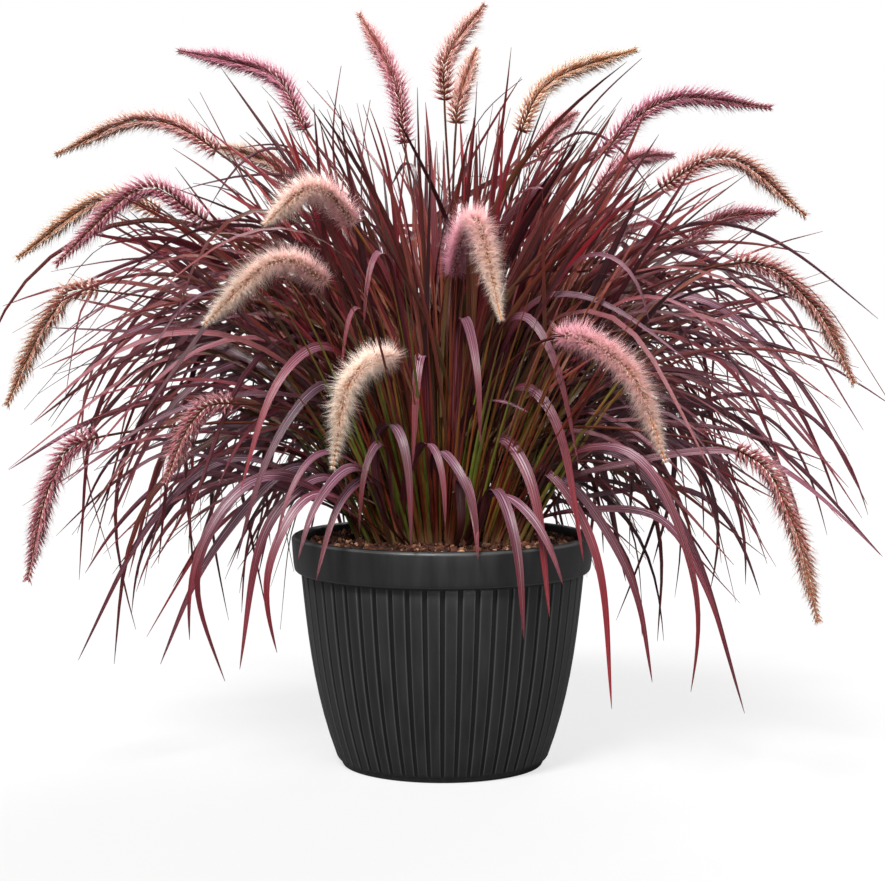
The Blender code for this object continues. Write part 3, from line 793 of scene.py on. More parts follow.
def plastic_material():
    """Charcoal plastic: faint upright streaks, a fine grain, painted shade in the grooves, and painted
    highlights on the ribs' edges, the lip and the band's lower edge.
    """
    recipe = Recipe("charcoal plastic", 0.5)
    streaks = recipe.noise(9.0, 5.0, stretch=(9, 9, 0.7))
    colour = recipe.ramp(streaks, [(0.30, linear(24, 24, 25)), (0.75, linear(38, 38, 39))])
    for name, strength, paint in (
        # painted shade in the grooves
        ("groove", 0.95, linear(5, 5, 5)),
        # painted highlight on the ribs' edges
        ("edge", 0.80, linear(78, 79, 79)),
        # painted highlight on the lip and the band's lower edge
        ("lip", 0.60, linear(78, 78, 78)),
    ):
        colour = recipe.mix(recipe.times(recipe.value(name), strength), colour, paint)
    recipe.colour(colour)
    recipe.roughness(recipe.grey_ramp(streaks, [(0.2, 0.38), (0.8, 0.54)]))
    recipe.bump(recipe.noise(900.0), 0.00012)
    return recipe.material


def bark_material():
    """Red-brown bark granules, each chip of its own tone."""
    recipe = Recipe("bark and soil", 0.85)
    grain = recipe.noise(260.0, 4.0)
    tone = recipe.math("ADD", recipe.value("tone"), recipe.times(grain, 0.35))
    recipe.colour(recipe.ramp(tone, [
        (0.16, linear(24, 12, 9)),
        (0.46, linear(70, 36, 24)),
        (0.74, linear(118, 68, 46)),
        (1.00, linear(206, 156, 120)),
    ]))
    recipe.bump(grain, 0.0006)
    return recipe.material


def leaf_material():
    """Satin leaf of hue 0 for mauve, 1 for crimson and 2 for olive, with lines along it and a painted
    highlight of pale streaks over each crest.
    """
    recipe = Recipe("purple leaf", 0.34)
    share, across, tone, crest, hue = (
        recipe.value(name) for name in ("along", "across", "tone", "crest", "hue")
    )
    place = recipe.math("ABSOLUTE", across)
    mauve = recipe.ramp(share, [
        (0.00, linear(104, 80, 38)),
        (0.14, linear(92, 40, 28)),
        (0.34, linear(86, 32, 40)),
        (0.66, linear(80, 26, 36)),
        (0.86, linear(108, 16, 28)),
        (0.98, linear(66, 10, 16)),
    ])
    crimson = recipe.ramp(share, [
        (0.00, linear(112, 90, 36)),
        (0.14, linear(128, 46, 24)),
        (0.36, linear(126, 20, 28)),
        (0.70, linear(142, 16, 28)),
        (0.96, linear(168, 20, 26)),
    ])
    olive = recipe.ramp(share, [
        (0.00, linear(128, 116, 52)),
        (0.24, linear(92, 92, 32)),
        (0.46, linear(124, 84, 28)),
        (0.72, linear(148, 54, 22)),
        (0.96, linear(88, 20, 18)),
    ])
    even = [(0.0, 0.0), (1.0, 1.0)]
    colour = recipe.laid_over(mauve, crimson, hue, even)
    colour = recipe.laid_over(colour, olive, recipe.math("SUBTRACT", hue, 1.0), even)

    def lines(count, length, variety):
        """Uneven lines along the leaf, other ones on a leaf of another tone."""
        return recipe.noise(1.0, 2.0, vector=recipe.combine(
            recipe.times(across, count), recipe.times(share, length), recipe.times(tone, variety)
        ))

    wander, fibres = lines(1.5, 5.0, 40.0), lines(10.0, 1.4, 60.0)
    colour = recipe.laid_over(colour, linear(20, 4, 5), tone, [(0.0, 0.80), (0.5, 0.0)])
    colour = recipe.laid_over(colour, linear(214, 130, 116), tone, [(0.6, 0.0), (1.0, 0.30)])
    # Painted highlight: a pale mauve wash over each crest, then pale streaks along the leaf that fade
    # away from it
    colour = recipe.mix(recipe.times(crest, 0.22), colour, linear(160, 112, 138))
    highlight_fade = recipe.times(
        recipe.grey_ramp(wander, [(0.32, 0.15), (0.62, 1.0)]),
        recipe.grey_ramp(crest, [(0.0, 0.12), (0.9, 1.0)]),
    )
    highlight_streaks = recipe.grey_ramp(place, [
        (0.08, 0.0), (0.18, 0.66), (0.28, 0.54), (0.40, 0.0), (0.56, 0.0), (0.70, 0.42),
        (0.80, 0.0), (0.90, 0.0), (0.97, 0.60),
    ])
    colour = recipe.mix(recipe.times(highlight_streaks, highlight_fade), colour, linear(224, 180, 206))
    colour = recipe.laid_over(colour, linear(32, 7, 12), place, [
        (0.00, 0.70), (0.06, 0.60), (0.10, 0.0), (0.33, 0.0), (0.39, 0.70), (0.50, 0.0),
        (0.80, 0.0), (0.85, 0.60), (0.90, 0.0),
    ])
    colour = recipe.laid_over(colour, linear(38, 9, 13), fibres, [(0.44, 0.0), (0.62, 0.5)])
    recipe.colour(colour)
    recipe.roughness(recipe.grey_ramp(fibres, [(0.3, 0.28), (0.7, 0.48)]))
    recipe.bump(fibres, 0.0005)
    return recipe.material


def shoot_material():
    """Upright sheaths: green and olive, streaked with orange-brown and crimson."""
    recipe = Recipe("leaf sheath", 0.4)
    streaks = recipe.noise(30.0, stretch=(4, 4, 0.5))
    hue = recipe.math("ADD", recipe.times(recipe.value("tone"), 0.72), recipe.times(streaks, 0.42))
    colour = recipe.ramp(hue, [
        (0.20, linear(76, 90, 26)),
        (0.38, linear(118, 124, 44)),
        (0.55, linear(136, 92, 38)),
        (0.72, linear(132, 48, 28)),
        (0.92, linear(70, 18, 20)),
    ])
    share = recipe.value("along")
    colour = recipe.laid_over(colour, linear(184, 138, 104), share, [(0.0, 0.80), (0.16, 0.0)])
    colour = recipe.laid_over(colour, linear(112, 42, 26), share, [(0.5, 0.0), (0.95, 0.6)])
    recipe.colour(colour)
    recipe.bump(recipe.noise(300.0, 2.0, stretch=(3, 3, 0.12)), 0.0003)
    return recipe.material


def culm_material():
    """Culms, and the rachis that runs on through a plume: golden in the plumes of warmth 1."""
    recipe = Recipe("culm and rachis", 0.6, specular=0.2)
    share = recipe.value("along")
    brown = recipe.ramp(share, [
        (0.00, linear(104, 98, 40)),
        (0.35, linear(100, 50, 30)),
        (0.60, linear(72, 26, 26)),
        (0.74, linear(84, 42, 22)),
        (1.00, linear(150, 92, 44)),
    ])
    in_plume = recipe.grey_ramp(share, [(0.6, 0.0), (0.72, 1.0)])
    golden = recipe.times(recipe.value("warmth"), in_plume)
    recipe.colour(recipe.mix(golden, brown, linear(206, 136, 74)))
    recipe.bump(recipe.noise(500.0, 2.0, stretch=(2, 2, 0.2)), 0.0002)
    return recipe.material


def spikelet_material():
    """Dark husks with a lighter foot and tip, from purple to straw by their warmth."""
    recipe = Recipe("spikelet", 0.5)
    warmth = recipe.value("warmth")
    body = recipe.ramp(warmth, [
        (0.00, linear(104, 22, 54)),
        (0.35, linear(122, 36, 50)),
        (0.65, linear(134, 64, 44)),
        (1.00, linear(186, 116, 62)),
    ])
    cream = recipe.ramp(warmth, [
        (0.00, linear(232, 150, 166)),
        (0.50, linear(244, 190, 160)),
        (1.00, linear(252, 220, 164)),
    ])
    share = recipe.grey_ramp(recipe.value("along"), [
        (0.00, 0.5), (0.16, 0.12), (0.28, 0.0), (0.62, 0.0), (1.00, 0.70),
    ])
    paler = recipe.math("ADD", share, recipe.times(recipe.value("tone"), 0.16))
    recipe.colour(recipe.mix(paler, body, cream))
    recipe.bump(recipe.noise(1500.0, 2.0), 0.0002)
    return recipe.material


def bristle_material():
    """Hairs, deeper in colour at the foot and almost white at the tip."""
    recipe = Recipe("bristle", 0.5)
    warmth = recipe.value("warmth")
    foot = recipe.ramp(warmth, [
        (0.00, linear(182, 62, 104)),
        (0.35, linear(208, 100, 112)),
        (0.65, linear(248, 186, 154)),
        (1.00, linear(255, 214, 172)),
    ])
    tip = recipe.ramp(warmth, [
        (0.00, linear(232, 152, 182)),
        (0.35, linear(246, 190, 192)),
        (0.65, linear(255, 236, 222)),
        (1.00, linear(255, 246, 232)),
    ])
    share = recipe.grey_ramp(recipe.value("along"), [(0.0, 0.0), (0.8, 0.8)])
    paler = recipe.math("ADD", share, recipe.times(recipe.value("tone"), 0.3))
    recipe.colour(recipe.mix(paler, foot, tip))
    recipe.shader.inputs["Sheen Weight"].default_value = 0.3
    recipe.shader.inputs["Sheen Roughness"].default_value = 0.3
    return recipe.material


# Soil


def mulch_height(radius):
    """Height of the bark this far from the middle: level, then down a little to the planter."""
    slope = np.clip((radius - SOIL_FLAT_RADIUS) / (SOIL_RADIUS - SOIL_FLAT_RADIUS), 0, 1)
    return MULCH + SOIL_HEIGHT + (SOIL_EDGE_HEIGHT - SOIL_HEIGHT) * slope


def make_soil():
    """An uneven bed of granules in the planter's mouth, on a plain body that fills the hollow."""
    rng = np.random.default_rng(11)
    shape = Shape("tone")
    rings, sides = 28, 120
    turns = np.arange(sides) / sides * math.tau
    bumps = rng.normal(0, 0.0011, (rings, sides))
    levels = [
        (body_radius(z) - WALL - 2 * GAP, z, 0) for z in (FLOOR + GAP, 0.060, 0.150)
    ]
    for share, bump in reversed(list(zip(np.linspace(1 / rings, 1, rings), bumps))):
        radius = SOIL_RADIUS * share
        levels.append((radius, mulch_height(radius) - CHIP_SINK, bump))
    points = [np.array([[0, 0, FLOOR + GAP]])]
    for radius, height, bump in levels:
        points.append(np.stack([
            radius * np.cos(turns), radius * np.sin(turns), np.full(sides, height) + bump
        ], axis=-1))
    points.append(np.array([[0, 0, SOIL_HEIGHT + MULCH - CHIP_SINK]]))
    points = np.concatenate(points)
    faces = spindle_faces(len(levels), sides)
    shape.add(points, faces, tone=rng.uniform(0.05, 0.35, len(points)))

    corners, chip = icosahedron()
    sizes = rng.uniform(*CHIP_RADIUS, CHIP_COUNT) * (1 + rng.random(CHIP_COUNT) ** 6)
    reach = (SOIL_RADIUS - 0.004) * np.sqrt(rng.random(CHIP_COUNT))
    turn = rng.uniform(0, math.tau, CHIP_COUNT)
    centres = np.stack([reach * np.cos(turn), reach * np.sin(turn), mulch_height(reach)], axis=-1)
    stretch = rng.uniform(0.5, 1.35, (CHIP_COUNT, 1, 3)) * np.array([1.0, 1.0, 0.6])
    rough = rng.uniform(0.78, 1.22, (CHIP_COUNT, len(corners), 1))
    spin = random_turns(rng, CHIP_COUNT)
    local = corners[None] * rough * stretch * sizes[:, None, None]
    chips = np.einsum("nij,nkj->nki", spin, local) + centres[:, None]
    tones = np.repeat(rng.beta(2.0, 2.6, CHIP_COUNT), len(corners))
    shape.add(chips, repeated(chip, CHIP_COUNT, len(corners)), tone=tones)
    return shape.piece("bark_and_soil", [bark_material()], "soil", sharp=50)


def icosahedron():
    golden = (1 + math.sqrt(5)) / 2
    corners = []
    for a in (-1, 1):
        for b in (-golden, golden):
            corners += [(0, a, b), (a, b, 0), (b, 0, a)]
    corners = unit(np.array(corners, float))
    faces = []
    reach = 1.06  # an edge is 1.05 times the radius
    for i in range(12):
        for j in range(i + 1, 12):
            for k in range(j + 1, 12):
                trio = corners[[i, j, k]]
                sides = np.linalg.norm(trio - np.roll(trio, 1, axis=0), axis=1)
                if sides.max() < reach:
                    out = np.dot(np.cross(trio[1] - trio[0], trio[2] - trio[0]), trio.sum(0))
                    faces.append((i, j, k) if out > 0 else (i, k, j))
    return corners, np.array(faces)


def random_turns(rng, count):
    """Rotation matrices, evenly spread."""
    q = unit(rng.normal(size=(count, 4)))
    w, x, y, z = q.T
    return np.stack([
        np.stack([1 - 2 * (y * y + z * z), 2 * (x * y - z * w), 2 * (x * z + y * w)], -1),
        np.stack([2 * (x * y + z * w), 1 - 2 * (x * x + z * z), 2 * (y * z - x * w)], -1),
        np.stack([2 * (x * z - y * w), 2 * (y * z + x * w), 1 - 2 * (x * x + y * y)], -1),
    ], -2)


# Leaves


def add_blade(shape, path, side, full, fold, roll, twist, section, highlight_strength=1.0, **values):
    """One leaf blade: it rolls over soon after its foot, and twists on towards its tip."""
    side, normal = frame_along(path, side)
    shares = path_lengths(path)
    shares = shares / shares[-1]
    turn = roll * np.clip(shares / 0.35, 0, 1) + twist * shares**1.5
    side, normal = turned(side, normal, turn)
    half = blade_width(shares, full)
    rings = ribbon(path, side, normal, half, np.full(len(path), fold), section)
    sides = len(section[0])
    shape.add(
        rings,
        ring_faces(len(path), sides),
        along=np.repeat(shares, sides),
        across=np.tile(section[0], len(path)),
        # the crest value: where, and how strongly, the painted highlight is laid on this blade
        crest=np.repeat(highlight_strength * crest_highlight_share(path, shares), sides),
        **values,
    )


def natural_roll(rng, heading):
    """How far a leaf rolls over: more where it leans to the side, either way round."""
    beside = abs(math.sin(math.radians(heading)))
    return rng.choice((-1, 1)) * rng.uniform(10 + 30 * beside, 40 + 40 * beside)


def shoot_lean(rng, outer, count=None):
    """How far a shoot leans out, the more the further out it stands, in degrees."""
    middle, edge = SHOOT_LEAN
    return middle + (edge - middle) * outer + rng.normal(0, 4, count)


def crest_highlight_share(path, shares):
    """1 where a leaf bends over its crest, where its painted highlight is palest, and 0 well away from
    it.
    """
    rise = unit(np.gradient(path, axis=0))[:, 2]
    fall = -np.degrees(np.arcsin(np.clip(rise, -1, 1)))
    return np.exp(-(((fall - 22) / 38) ** 2)) * np.clip(shares / 0.3, 0, 1)


def view_place(points):
    """Where the camera sees these points, as metres across and up at the clump's middle."""
    scale = CAMERA_REACH / (points[..., 1] + CAMERA_REACH)
    return points[..., 0] * scale, (points[..., 2] - CAMERA_HEIGHT) * scale + CAMERA_HEIGHT


def front_depths():
    """How far back the plumes and broad blades of the front lie, for each cell of the view."""
    shares = np.linspace(0, 1, 60)
    forms = []
    for heading, row, arch, _ in (*LEAF_BLADES, *EXTRA_BLADES):
        if abs(heading) <= FRONT_SECTOR:
            path = in_plane(heading, along(smooth_curve([*rooted(row), *arch]), shares))
            forms.append((path[shares > 0.3], BLADE_CLEAR))
    for points in FRONT_BLADES:
        forms.append((along(smooth_curve(points), shares)[shares > 0.2], BLADE_CLEAR))
    for heading, _, _, foot, crest, tip, _, _ in FLOWER_SPIKES:
        if abs(heading) <= PLUME_SECTOR:
            path = in_plane(heading, along(smooth_curve([foot, crest, tip]), shares))
            forms.append((path, PLUME_CLEAR))
    depths = np.full((VIEW_CELLS, VIEW_CELLS), NOTHING_SEEN)
    for path, clear in forms:
        x, z = view_place(path)
        spread = int(clear / VIEW_CELL)
        for column, row, depth in zip(cell(x), cell(z), path[:, 1]):
            patch = depths[column - spread : column + spread + 1, row - spread : row + spread + 1]
            patch[:] = np.where(patch == NOTHING_SEEN, depth, np.minimum(patch, depth))
    return depths


def cell(value):
    return np.clip((np.asarray(value) / VIEW_CELL).astype(int) + VIEW_CELLS // 2, 0, VIEW_CELLS - 1)


def hides_front(paths, depths):
    """Which paths pass in front of a plume or a broad blade of the front."""
    finer = np.concatenate([
        paths[:, :-1] + (paths[:, 1:] - paths[:, :-1]) * part for part in (0, 0.2, 0.4, 0.6, 0.8)
    ], axis=1)
    x, z = view_place(finer)
    return (finer[..., 1] < depths[cell(x), cell(z)] - FRONT_SLACK).any(axis=1)


def droops(paths):
    """Which paths end near the clump's middle, or else hang down at their tips."""
    reach = np.hypot(paths[:, -1, 0], paths[:, -1, 1])
    fall = unit(paths[:, -1] - paths[:, -2])[:, 2]
    return (reach < 0.27) | (fall < -0.15)


def add_fine_blade(shape, rng, path, heading, hue, half_width):
    """A broad blade, rolled so that the part that hangs faces the front or the back."""
    facing = heading if abs(heading) <= 90 else heading - math.copysign(180, heading)
    roll = ROLL_SHARE * np.clip(facing, -MOST_FACING, MOST_FACING)
    narrowing = 1 - SIDE_NARROWING * math.sin(math.radians(heading)) ** 4
    add_blade(
        shape, path, sideways(heading), rng.uniform(*half_width) * narrowing, BROAD_FOLD,
        roll + rng.normal(0, 8), rng.uniform(-12, 12), FINE_SECTION,
        tone=rng.uniform(0.25, 0.65), hue=hue,
    )


def make_extra_blades(material):
    """More broad blades on the clump, each in its own upright plane or across the front."""
    rng = np.random.default_rng(31)
    shape = Shape(*LEAF_VALUES)
    shares = np.linspace(0, 1, 33)
    for heading, row, arch, hue in EXTRA_BLADES:
        flat = along(smooth_curve([*rooted(row), *arch]), shares)
        path = in_plane(heading, softened(flat))
        add_fine_blade(shape, rng, path, heading, hue, EXTRA_HALF_WIDTH)
    for points, hue in zip(FRONT_BLADES, FRONT_HUES):
        path = softened(along(smooth_curve(points), shares))
        add_fine_blade(shape, rng, path, 0, hue, EXTRA_HALF_WIDTH)
    return shape.piece("leaf_clump_broad_blades", [material], "leaf_clump", sharp=60)


def make_named_blades(material):
    rng = np.random.default_rng(23)
    for number, (heading, row, arch, hue) in enumerate(LEAF_BLADES, 1):
        node = f"leaf_blade_{number:02d}"
        flat = softened(along(smooth_curve([*rooted(row), *arch]), np.linspace(0, 1, 45)))
        shape = Shape(*LEAF_VALUES)
        add_fine_blade(shape, rng, in_plane(heading, flat), heading, hue, NAMED_HALF_WIDTH)
        shape.piece(f"{node}_detail", [material], node, sharp=60)


def arching_paths(rng, kind, count, steps):
    """Candidate leaves of this kind as paths, with their headings."""
    _, foot_range, lean_range, bend_range, length_range, _, _ = LEAF_KINDS[kind]
    outer = np.sqrt(rng.random(count))
    shoot_heading = rng.uniform(-180, 180, count)
    from_upright = shoot_lean(rng, outer, count)
    rise = rng.uniform(*foot_range, count)
    start_reach = SHOOT_CIRCLE * outer + rise * np.tan(np.radians(from_upright))
    start = outward(shoot_heading) * start_reach[:, None] + UP * (SOIL_HEIGHT + rise)[:, None]
    heading = shoot_heading + rng.normal(0, HEADING_SCATTER, count)
    lean = from_upright + rng.uniform(*lean_range, count)
    bend = rng.uniform(*bend_range, count)
    length = rng.uniform(*length_range, count)
    share = np.linspace(0, 1, steps + 1)
    middle = (share[1:] + share[:-1]) / 2
    start_bend = rng.uniform(-0.15, 0.15, count)[:, None]
    end_bend = rng.uniform(0.70, 1.10, count)[:, None]
    bent = np.clip((middle[None] - start_bend) / (end_bend - start_bend), 0, 1)
    angle = np.radians(lean[:, None] + bend[:, None] * bent * bent * (3 - 2 * bent))
    step = (length / steps)[:, None]
    zero = np.zeros((count, 1))
    reach = np.concatenate([zero, np.cumsum(np.sin(angle) * step, axis=1)], axis=1)
    height = np.concatenate([zero, np.cumsum(np.cos(angle) * step, axis=1)], axis=1)
    sway = rng.normal(0, SWAY, count)[:, None] * length[:, None] * share[None] ** 2
    paths = (
        start[:, None]
        + outward(heading)[:, None] * reach[..., None]
        + sideways(heading)[:, None] * sway[..., None]
        + UP * height[..., None]
    )
    return paths, heading


def inside_outline(paths, slack):
    """Which paths keep within the clump's domed outline and clear of the planter."""
    flat = np.hypot(paths[..., 0], paths[..., 1])
    height = paths[..., 2]
    roof = DOME_BASE + DOME_RISE * np.sqrt(np.clip(1 - (flat / DOME_REACH) ** 2, 0, 1))
    under_roof = (height < roof * slack[:, None]).all(axis=1)
    low, high = np.array(cad_low) - 0.006, np.array(cad_high) + 0.006
    boxed = ((paths > low) & (paths < high)).all(axis=(1, 2))
    on_pot = (height < POT_HEIGHT + 0.012) & (flat < RIM_RADIUS + 0.006) & (flat > MOUTH_RADIUS - 0.02)
    hem = HEM_HEIGHT + HEM_SLOPE * np.clip(flat - HEM_REACH, 0, None)
    above_hem = (height > hem).all(axis=1)
    return under_roof & boxed & above_hem & ~on_pot.any(axis=1)


def past_front(paths):
    """Which paths pass in front of the clump's open middle, where its shoots show."""
    depth, half_width, top = FRONT_OPENING
    inside = (paths[..., 1] < -depth) & (np.abs(paths[..., 0]) < half_width) & (paths[..., 2] < top)
    return inside.any(axis=1)


def on_bare_soil(paths):
    """Which paths rise from the soil that is bare in front of the shoots."""
    low = paths[..., 2] < POT_HEIGHT + 0.02
    return (low & (paths[..., 1] < -SHOOT_FRONT)).any(axis=1)


def make_leaf_mass(material):
    rng = np.random.default_rng(5)
    depths = front_depths()
    for name, kinds, steps in LEAF_PIECES:
        shape = Shape(*LEAF_VALUES)
        for kind in kinds:
            count, *_, widths, green = LEAF_KINDS[kind]
            paths, headings = arching_paths(rng, kind, count * CANDIDATES, steps)
            slack = 1 + np.abs(rng.normal(0, 0.04, len(paths)))
            wanted = inside_outline(paths, slack)
            wanted &= droops(paths) | (rng.random(len(paths)) < STIFF_SHARE)
            wanted &= ~hides_front(paths, depths) | (rng.random(len(paths)) < STRAY_SHARE)
            wanted &= ~on_bare_soil(paths)
            if kind != "core":
                wanted &= ~past_front(paths) | (rng.random(len(paths)) < ACROSS_SHARE)
            for index in np.flatnonzero(wanted)[:count]:
                hue = rng.uniform(1.3, 2.0) if rng.random() < green else rng.beta(1.5, 1.3)
                add_blade(
                    shape, paths[index], sideways(headings[index]), rng.uniform(*widths), MASS_FOLD,
                    natural_roll(rng, headings[index]), rng.normal(0, 30), PLAIN_SECTION,
                    # how strongly each leaf of the mass gets its painted highlight
                    highlight_strength=rng.uniform(0.0, 0.7), tone=rng.random(), hue=hue,
                )
        shape.piece(name, [material], "leaf_clump", sharp=60)


def make_shoots(material):
    """Upright sheathed stems that carry the leaves."""
    rng = np.random.default_rng(7)
    shape = Shape("along", "tone")
    sides, steps = 6, 9
    shares = np.linspace(0, 1, steps)
    for _ in range(SHOOT_COUNT):
        outer = math.sqrt(rng.random())
        heading = rng.uniform(-180, 180)
        angle = np.radians(shoot_lean(rng, outer) + SHOOT_BEND * shares)
        length = rng.uniform(*SHOOT_LENGTH) * shares
        reach = SHOOT_CIRCLE * outer + length * np.sin(angle)
        height = SOIL_HEIGHT - ROOT_DEPTH + length * np.cos(angle)
        path = in_plane(heading, np.stack([reach, height], axis=-1))
        path[:, 1] += max(0.0, -SHOOT_FRONT - path[0, 1])
        side, normal = frame_along(path, sideways(heading))
        radii = rng.uniform(*SHOOT_RADIUS) * (1.15 - 0.95 * shares**1.6)
        rings = tube(path, side, normal, radii, sides)
        shape.add(
            rings, ring_faces(steps, sides), along=np.repeat(shares, sides), tone=rng.random()
        )
    return shape.piece("leaf_clump_shoots", [material], "leaf_clump", sharp=60)


# Plumes


def perpendicular(axes, hints):
    first = unit(np.cross(axes, hints))
    return first, np.cross(axes, first)


def frame_on(head, heading, place):
    """Points on a plume's rachis at these shares, with their tangents, sides and lifts."""
    middle = in_plane(heading, along(head, place))
    ahead = in_plane(heading, along(head, np.clip(place + 0.004, 0, 1)))
    behind = in_plane(heading, along(head, np.clip(place - 0.004, 0, 1)))
    tangent = unit(ahead - behind)
    across = np.broadcast_to(sideways(heading), tangent.shape)
    return middle, tangent, across, np.cross(tangent, across)


def add_spindles(shape, feet, axes, lengths, radii, slot, sides=5, **values):
    """Pointed husks: a foot, two rings and a tip each."""
    count = len(feet)
    around = circles(*perpendicular(axes, np.array([0.31, 0.77, 0.56])), sides)
    levels, girths = (0.20, 0.58), (0.80, 1.0)
    rows = [feet[:, None]]
    for level, girth in zip(levels, girths):
        middle = feet + axes * (lengths * level)[:, None]
        rows.append(middle[:, None] + around * (radii * girth)[:, None, None])
    rows.append((feet + axes * lengths[:, None])[:, None])
    points = np.concatenate(rows, axis=1)
    stride = points.shape[1]
    share = np.tile(np.concatenate([[0.0], np.repeat(levels, sides), [1.0]]), count)
    spread = {name: np.repeat(value, stride) for name, value in values.items()}
    faces = repeated(spindle_faces(2, sides), count, stride)
    shape.add(points, faces, slot=slot, along=share, **spread)


BRISTLE_FACES = np.array([(0, 1, 3), (1, 2, 3), (2, 0, 3), (0, 2, 1)])


def add_bristles(shape, feet, tips, radius, slot, **values):
    """Fine three-sided hairs, each closed at its foot."""
    count = len(feet)
    around = circles(*perpendicular(unit(tips - feet), np.array([0.23, 0.41, 0.88])), 3)
    points = np.concatenate([feet[:, None] + around * radius, tips[:, None]], axis=1)
    share = np.tile([0.0, 0.0, 0.0, 1.0], count)
    spread = {name: np.repeat(value, 4) for name, value in values.items()}
    shape.add(points, repeated(BRISTLE_FACES, count, 4), slot=slot, along=share, **spread)


def husk_places(rng, head, heading):
    """Where the husks sit on the rachis, in whorls, and which way is ahead and out for each."""
    pairs = len(PAIR_ANGLES)
    whorls = int(path_lengths(head)[-1] / WHORL_STEP)
    whorl = np.repeat(np.arange(whorls), 2 * pairs)
    place = np.clip((whorl + 0.3 + rng.normal(0, 0.06, len(whorl))) / whorls, 0, 0.995)
    middle, tangent, across, lift = frame_on(head, heading, place)
    front = np.arctan2(-across[:, 1], -lift[:, 1])
    spread = np.tile(np.repeat(PAIR_ANGLES, 2), whorls) + rng.normal(0, 7, len(place))
    turn = front + np.radians(spread) * np.tile([-1, 1], whorls * pairs)
    out = swung(lift, across, turn)
    return place, middle + out * 0.0006, tangent, out


def add_head(shape, rng, head, heading, radius, warm_foot, warm_tip):
    """The husks of a plume, a pale glume beyond each, and the hairs that spring from them."""
    fluffy = radius == FLUFFY
    look = FLUFFY_LOOK if fluffy else PLAIN_LOOK
    place, feet, tangent, out = husk_places(rng, head, heading)
    count = len(place)
    near_foot = np.clip(place / 0.10, 0, 1)
    size = np.clip((1 - place) / 0.34, look["blunt"], 1) ** 0.7 * (0.75 + 0.25 * near_foot)
    lean = np.radians(50 - 15 * place + 26 * np.clip(1 - place / 0.10, 0, 1))
    axis = swung(tangent, out, lean)
    warmth = warm_foot + (warm_tip - warm_foot) * place
    length = look["husk"] * SPIKELET_LENGTH * size * rng.uniform(0.88, 1.1, count)
    girth = SPIKELET_RADIUS * size**0.5
    add_spindles(
        shape, feet, axis, length, girth, slot=1,
        tone=rng.random(count), warmth=0.5 + 0.5 * warmth if fluffy else warmth,
    )
    glume_feet = feet + tangent * (WHORL_STEP / 2) + out * 0.0005
    add_spindles(
        shape, glume_feet, swung(tangent, out, lean * 0.8), length * 0.5, 0.55 * girth, slot=2,
        sides=4, tone=rng.uniform(0.5, 1.5, count), warmth=0.55 + 0.45 * warmth,
    )

    hair = np.repeat(np.arange(count), look["hairs"])
    hair_lean = lean[hair] + np.radians(rng.normal(look["opening"], look["scatter"], len(hair)))
    swing = np.radians(rng.normal(0, look["swing"], len(hair)))
    fan = swung(out[hair], np.cross(tangent, out)[hair], swing)
    way = swung(tangent[hair], fan, hair_lean)
    sprung = rng.uniform(*look["sprung"], len(hair))
    hair_feet = feet[hair] + axis[hair] * (length[hair] * sprung)[:, None]
    long = rng.random(len(hair)) < look["long"]
    stretch = np.where(long, rng.uniform(0.85, 1.30, len(hair)), rng.uniform(0.40, 0.80, len(hair)))
    reach = look["reach"] * radius * size[hair] * stretch
    add_bristles(
        shape, hair_feet, hair_feet + way * reach[:, None], BRISTLE_RADIUS,
        slot=2, tone=rng.random(len(hair)),
        warmth=np.clip(warmth[hair] + rng.normal(0, 0.08, len(hair)), 0, 1),
    )


def make_flower_spike(number, spec, materials):
    """A culm whose rachis runs on through its plume."""
    heading, row, radius, foot, crest, tip, warm_foot, warm_tip = spec
    root, start, sprout = rooted(row)
    run, rise = foot[0] - start[0], foot[1] - start[1]
    knee = (start[0] + KNEE[0] * run, start[1] + KNEE[1] * rise + KNEE[2] * abs(run))
    steps = 20
    flat = smooth_curve([root, start, sprout, knee, foot, crest, tip], steps)

    shape = Shape("along", "tone", "warmth")
    shares = np.linspace(0, 1, 30)
    stalk = in_plane(heading, along(flat, shares))
    side, normal = frame_along(stalk, sideways(heading))
    rings = tube(stalk, side, normal, CULM_RADIUS - CULM_TAPER * shares**2, 6)
    faces = ring_faces(len(stalk), 6)
    golden = float(radius == FLUFFY)
    shape.add(rings, faces, slot=0, along=np.repeat(shares, 6), warmth=golden)
    rng = np.random.default_rng(100 + number)
    add_head(shape, rng, flat[4 * steps :], heading, radius, warm_foot, warm_tip)
    node = f"flower_spike_{number:02d}"
    shape.piece(f"{node}_detail", materials, node)


# Camera, light and floor


def make_camera():
    data = bpy.data.cameras.new("camera")
    data.sensor_width = SENSOR_WIDTH
    data.lens = FOCAL_LENGTH / PHOTO_WIDTH * SENSOR_WIDTH
    camera = bpy.data.objects.new("camera", data)
    camera.location = (0.0, -CAMERA_REACH, CAMERA_HEIGHT)
    camera.rotation_euler = (math.pi / 2 - CAMERA_TILT, 0.0, 0.0)
    bpy.context.scene.collection.objects.link(camera)
    bpy.context.scene.camera = camera


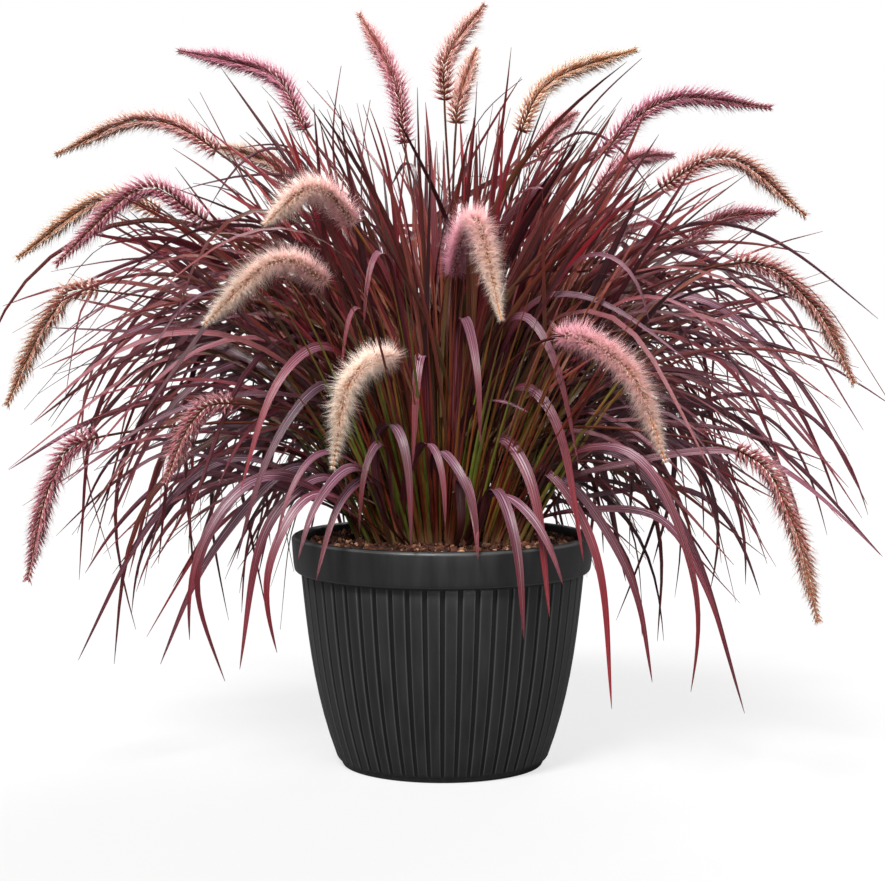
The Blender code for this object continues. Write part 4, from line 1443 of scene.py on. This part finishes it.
def make_studio():
    mesh = bpy.data.meshes.new("floor")
    corners = [(-1, -1), (1, -1), (1, 1), (-1, 1)]
    mesh.from_pydata([(x * FLOOR_HALF, y * FLOOR_HALF, -0.0005) for x, y in corners], [], [(0, 1, 2, 3)])
    recipe = Recipe("studio floor", 0.9, specular=0.1)
    recipe.shader.inputs["Emission Color"].default_value = (1, 1, 1, 1)
    seen = recipe.node("ShaderNodeLightPath").outputs["Is Camera Ray"]
    recipe.fill(recipe.shader.inputs["Emission Strength"], recipe.times(seen, FLOOR_GLOW))
    greys = [(0.0, linear(108, 107, 107)), (1.0, linear(112, 111, 111))]
    recipe.colour(recipe.ramp(recipe.noise(2.0), greys))
    mesh.materials.append(recipe.material)
    floor = bpy.data.objects.new("floor", mesh)
    bpy.context.scene.collection.objects.link(floor)

    world = bpy.data.worlds.new("studio")
    world.use_nodes = True
    tree = world.node_tree
    backdrop = tree.nodes["Background"]
    backdrop.inputs["Color"].default_value = (1, 1, 1, 1)
    seen = tree.nodes.new("ShaderNodeLightPath")
    strength = tree.nodes.new("ShaderNodeMapRange")
    strength.inputs["To Min"].default_value = FILL
    strength.inputs["To Max"].default_value = 1.0
    tree.links.new(seen.outputs["Is Camera Ray"], strength.inputs["Value"])
    tree.links.new(strength.outputs["Result"], backdrop.inputs["Strength"])
    bpy.context.scene.world = world
    bpy.context.scene.view_settings.view_transform = "Standard"
    for sun in SUNS:
        make_sun(*sun)


def make_sun(name, from_top, heading, strength, spread):
    """A far soft light, from_top degrees from overhead on the side of this heading."""
    data = bpy.data.lights.new(name, "SUN")
    data.energy = strength
    data.angle = math.radians(spread)
    sun = bpy.data.objects.new(name, data)
    sun.rotation_euler = (math.radians(from_top), 0.0, math.radians(heading))
    bpy.context.scene.collection.objects.link(sun)


make_camera()
make_studio()
make_planter()
make_soil()
leaf = leaf_material()
make_named_blades(leaf)
make_extra_blades(leaf)
make_leaf_mass(leaf)
make_shoots(shoot_material())
plume_materials = [culm_material(), spikelet_material(), bristle_material()]
for number, spec in enumerate(FLOWER_SPIKES, 1):
    make_flower_spike(number, spec, plume_materials)
